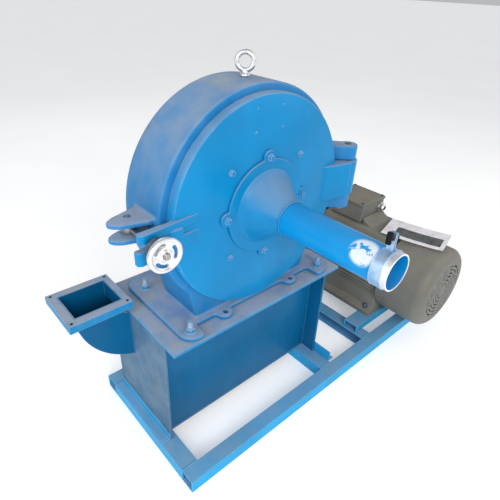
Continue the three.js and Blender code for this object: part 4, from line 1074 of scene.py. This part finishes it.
class MILL_OT_cowl(bpy.types.Operator):
    """Pressed fan cowl with a rounded nose and rings of air slots"""
    bl_idname = "mill.cowl"
    bl_label = "Fan cowl"

    def execute(self, context):
        nose, lip, r, bend, wall = -267, -68, 175, 42, 3
        centre = (r - bend, nose + bend)
        outer = [(centre[0] + bend * math.sin(t), centre[1] - bend * math.cos(t))
                 for t in (math.radians(90 * i / 12) for i in range(13))]
        inner = [(centre[0] + (bend - wall) * math.sin(t), centre[1] - (bend - wall) * math.cos(t))
                 for t in (math.radians(90 * i / 12) for i in range(12, -1, -1))]
        profile = [(0, nose), (centre[0] * 0.5, nose), *outer, (r - 0.2, -120), (r, -118), (r, -112), (r - 0.2, -110),
                   (r, lip), (r - wall, lip), *inner, (0, nose + wall)]
        cowl = turned(profile, MOTOR_AXIS, 128)
        slots = []
        for ring in range(6):
            r0 = 30 + 16 * ring
            count = 4 + 2 * ring
            for i in range(count):
                mid = 360 * i / count + 11 * ring
                half = 180 / count - 260 / (r0 + 5)
                outline = arc(MOTOR_AXIS, r0 + 6, mid - half, mid + half, 8)
                outline += arc(MOTOR_AXIS, r0, mid + half, mid - half, 8)
                slots.append(prism(outline, nose - 5, nose + 9))
        cowl = drilled(cowl, slots)
        set_down("fan_hood", cowl, FINISH["motor"], "base", ["fan_cowl"], 30)
        screws = [fastened("bolt", facing((x, -82, z), (math.cos(t), 0, math.sin(t))), 9, 3.5)
                  for x, z, t in around(MOTOR_AXIS, 174.6, 4, 45)]
        set_down("cowl_screws", joined(screws), FINISH["bolt"], "base", (), 35)
        return {"FINISHED"}


class MILL_OT_card(bpy.types.Operator):
    """Laminated card on the cowl, with its blank foil panel"""
    bl_idname = "mill.card"
    bl_label = "Card"

    def execute(self, context):
        low, high = span("data_card")
        centre = (low + high) / 2
        lie = Matrix.Translation((centre.x, centre.y, high.z)) @ Matrix.Rotation(CARD_TURN, 4, "Z")
        sheet = self.curled((158, 250), (0, 0), 2.0, 0.7, (24, 36), lie)
        set_down("laminated_card_sheet", sheet, FINISH["card"], "base", ["data_card"], 40)
        panel = self.curled((70, 186), (-20, -15), 3.1, 0.6, (10, 30), lie)
        set_down("foil_rating_panel", panel, FINISH["foil"], "base", (), 40)
        return {"FINISHED"}

    @staticmethod
    def curled(size, shift, height, thick, cells, lie):
        """A thin sheet that lifts towards its ends and bends down at its sides."""
        sheet = bmesh.new()
        bmesh.ops.create_grid(sheet, x_segments=cells[0], y_segments=cells[1], size=0.5)
        for v in sheet.verts:
            x, y = v.co.x * size[0] + shift[0], v.co.y * size[1] + shift[1]
            v.co = (x, y, height + 0.00030 * y * y * (1 if y < 0 else 0.4) - 0.0001 * x * x)
        top = bmesh.ops.extrude_face_region(sheet, geom=sheet.faces[:])["geom"]
        bmesh.ops.translate(sheet, vec=(0, 0, thick), verts=[v for v in top if isinstance(v, bmesh.types.BMVert)])
        bmesh.ops.recalc_face_normals(sheet, faces=sheet.faces)
        bmesh.ops.transform(sheet, matrix=lie, verts=sheet.verts)
        return sheet


class MILL_OT_drive(bpy.types.Operator):
    """Bearing housing, shafts, grooved pulleys and the two belts"""
    bl_idname = "mill.drive"
    bl_label = "Belt drive"

    def execute(self, context):
        dress("bearing_housing", FINISH["drum"], 2.0, 3)
        for node in ("bearing_front", "bearing_rear", "main_shaft", "motor_shaft"):
            dress(node, FINISH["steel"], 0.8)
        for node in ("v_belt_1", "v_belt_2"):
            dress(node, FINISH["rubber"], 1.0)
        self.pulley("mill_sheave", MILL_AXIS, 80, 25.35, 25, "rotor", "mill_pulley")
        self.pulley("motor_sheave", MOTOR_AXIS, 140, 24.35, 24, "motor_rotor", "motor_pulley")
        cover = [fastened("bolt", facing((x, 206.5, z), (0, 1, 0)), 17, 9, turn=20 * i)
                 for i, (x, z, _) in enumerate(around(MILL_AXIS, 104, 8, 22.5))]
        cover += [fastened("bolt", facing((x, 376, z), (0, 1, 0)), 12, 6, turn=20 * i)
                  for i, (x, z, _) in enumerate(around(MILL_AXIS, 60, 6))]
        set_down("housing_bolts", joined(cover), FINISH["bolt"], "base", (), 35)
        nipples = []
        for y in (225, 355):
            nipple = turned([(0, 0), (4, 0), (4, 6), (2.6, 7), (2.6, 10), (3.6, 12), (3.0, 14), (0, 15)],
                            (0, 0), 20, "z")
            bmesh.ops.transform(nipple, matrix=facing((AXIS_X, y, AXIS_Z + 71.5), (0, 0, 1)), verts=nipple.verts)
            nipples.append(nipple)
        set_down("grease_nipples", joined(nipples), FINISH["zinc"], "base", (), 35)
        return {"FINISHED"}

    def pulley(self, name, axis, r, bore, shaft, body, node):
        """A grooved sheave with a thinner web and a hub; the hub's two screws are not drawn."""
        y0, y1 = span(node)[0].y, span(node)[1].y
        half = 8.7
        profile = [(bore, y0), (bore + 20, y0), (bore + 22, y0 + 2), (bore + 22, y0 + 14), (r - 22, y0 + 14),
                   (r - 20, y0 + 1), (r - 18, y0), (r - 1, y0), (r, y0 + 1)]
        for y in (406, 434):
            profile += [(r, y - half), (r - 12, y - half + 3), (r - 12, y + half - 3), (r, y + half)]
        profile += [(r, y1 - 1), (r - 1, y1), (r - 18, y1), (r - 20, y1 - 1), (r - 22, y1 - 14),
                    (bore + 22, y1 - 14), (bore + 22, y1 - 2), (bore + 20, y1), (bore, y1)]
        sheave = turned(profile, axis, 112)
        if r > 100:
            windows = []
            for i in range(5):
                mid = 72 * i + 18
                outline = arc(axis, r - 32, mid - 22, mid + 22, 8) + arc(axis, bore + 34, mid + 17, mid - 17, 8)
                windows.append(prism(outline, y0 + 5, y1 - 5))
            sheave = drilled(sheave, windows)
        set_down(name, sheave, FINISH["iron"], body, [node], 30)


class MILL_OT_rotor(bpy.types.Operator):
    """What the open door shows: rotor discs, pins, hammers, screen and liner"""
    bl_idname = "mill.rotor"
    bl_label = "Rotor and screen"

    def execute(self, context):
        for node in ("rotor_plate_front", "rotor_plate_rear"):
            dress(node, FINISH["hammer"], 1.2)
        for i in range(1, 5):
            dress(f"hammer_pin_{i}", FINISH["steel"], 0.8)
        for i in range(1, 9):
            dress(f"hammer_{i}", FINISH["hammer"], 0.9)
        dress("screen_ring", FINISH["steel"], 0.5)
        dress("door_liner", FINISH["hammer"], 0.8)
        dress("hinge_pin", FINISH["bolt"], 1.2)
        return {"FINISHED"}


class MILL_OT_stage(bpy.types.Operator):
    """Plain pale floor, soft lights and the camera"""
    bl_idname = "mill.stage"
    bl_label = "Stage"

    def execute(self, context):
        stage = context.scene.mill_stage
        floor = bmesh.new()
        bmesh.ops.create_grid(floor, x_segments=1, y_segments=1, size=stage.floor / 2)
        mesh = bpy.data.meshes.new("floor")
        floor.to_mesh(mesh)
        floor.free()
        mesh.materials.append(FINISH["floor"])
        plane = bpy.data.objects.new("floor", mesh)
        context.scene.collection.objects.link(plane)
        plane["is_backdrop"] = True
        world = bpy.data.worlds.new("studio")
        world.use_nodes = True
        sky = world.node_tree.nodes["Background"]
        sky.inputs[0].default_value = (0.96, 0.98, 1.0, 1.0)
        sky.inputs[1].default_value = 0.50
        context.scene.world = world
        aim = Vector((0.0, 0.0, 0.55))
        self.lamp("key", (-1.7, -3.4, 2.5), aim, 2.0, 98, (1.0, 0.99, 0.97))
        self.lamp("left", (-3.2, -0.4, 1.9), aim, 1.8, 38, (0.93, 0.96, 1.0))
        self.lamp("fill", (2.8, -1.8, 2.2), aim, 2.5, 24, (1.0, 0.98, 0.96))
        self.lamp("back", (0.8, 3.2, 3.0), aim, 2.5, 14, (0.97, 0.98, 1.0))
        camera = bpy.data.objects.new("camera", bpy.data.cameras.new("camera"))
        camera.data.lens = stage.lens
        camera.data.sensor_width = 36
        camera.data.dof.use_dof = False
        turn = Matrix.Rotation(stage.azimuth, 4, "Z") @ Matrix.Rotation(math.pi / 2 - stage.elevation, 4, "X")
        turn = turn @ Matrix.Rotation(stage.roll, 4, "Z")
        low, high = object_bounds()
        corner = Vector((low.x, low.y, high.z))
        camera.matrix_world = Matrix.Translation(corner + CAMERA_REACH) @ turn
        context.scene.collection.objects.link(camera)
        context.scene.camera = camera
        context.scene.view_settings.view_transform = "Standard"
        return {"FINISHED"}

    @staticmethod
    def lamp(name, spot, aim, side, power, colour):
        """A square soft box that points at the mill."""
        data = bpy.data.lights.new(name, "AREA")
        data.shape = "SQUARE"
        data.size = side
        data.energy = power
        data.color = colour
        obj = bpy.data.objects.new(name, data)
        obj.location = spot
        obj.rotation_euler = (aim - Vector(spot)).to_track_quat("-Z", "Y").to_euler()
        bpy.context.scene.collection.objects.link(obj)


class MILL_OT_finishes(bpy.types.Operator):
    """Paints, metals, rubber and card, as materials"""
    bl_idname = "mill.finishes"
    bl_label = "Finishes"

    def execute(self, context):
        make_finishes(context.scene.mill_paint)
        return {"FINISHED"}


STEPS = (MILL_OT_finishes, MILL_OT_stage, MILL_OT_frame, MILL_OT_plate_box, MILL_OT_casing, MILL_OT_door,
         MILL_OT_door_bolts, MILL_OT_inlet, MILL_OT_clamp, MILL_OT_latch, MILL_OT_eye_bolt, MILL_OT_welds,
         MILL_OT_foot_bolts, MILL_OT_motor, MILL_OT_cowl, MILL_OT_card, MILL_OT_drive, MILL_OT_rotor)


class MILL_PT_panel(bpy.types.Panel):
    """Lists the mill's pieces in the sidebar"""
    bl_label = "Hammer Mill"
    bl_idname = "MILL_PT_panel"
    bl_space_type = "VIEW_3D"
    bl_region_type = "UI"
    bl_category = "Mill"

    def draw(self, context):
        for group in (context.scene.mill_paint, context.scene.mill_sizes, context.scene.mill_stage):
            for name in group.__annotations__:
                self.layout.prop(group, name)
        for step in STEPS:
            self.layout.operator(step.bl_idname)


GROUPS = (MillPaint, MillSizes, MillStage)


def register():
    for cls in (*GROUPS, *STEPS, MILL_PT_panel):
        bpy.utils.register_class(cls)
    bpy.types.Scene.mill_paint = PointerProperty(type=MillPaint)
    bpy.types.Scene.mill_sizes = PointerProperty(type=MillSizes)
    bpy.types.Scene.mill_stage = PointerProperty(type=MillStage)


def unregister():
    for name in ("mill_paint", "mill_sizes", "mill_stage"):
        delattr(bpy.types.Scene, name)
    for cls in (MILL_PT_panel, *reversed(STEPS), *reversed(GROUPS)):
        bpy.utils.unregister_class(cls)


def main():
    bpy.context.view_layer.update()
    register()
    for step in STEPS:
        family, name = step.bl_idname.split(".")
        getattr(getattr(bpy.ops, family), name)()
    bpy.context.view_layer.update()


if __name__ == "__main__":
    main()
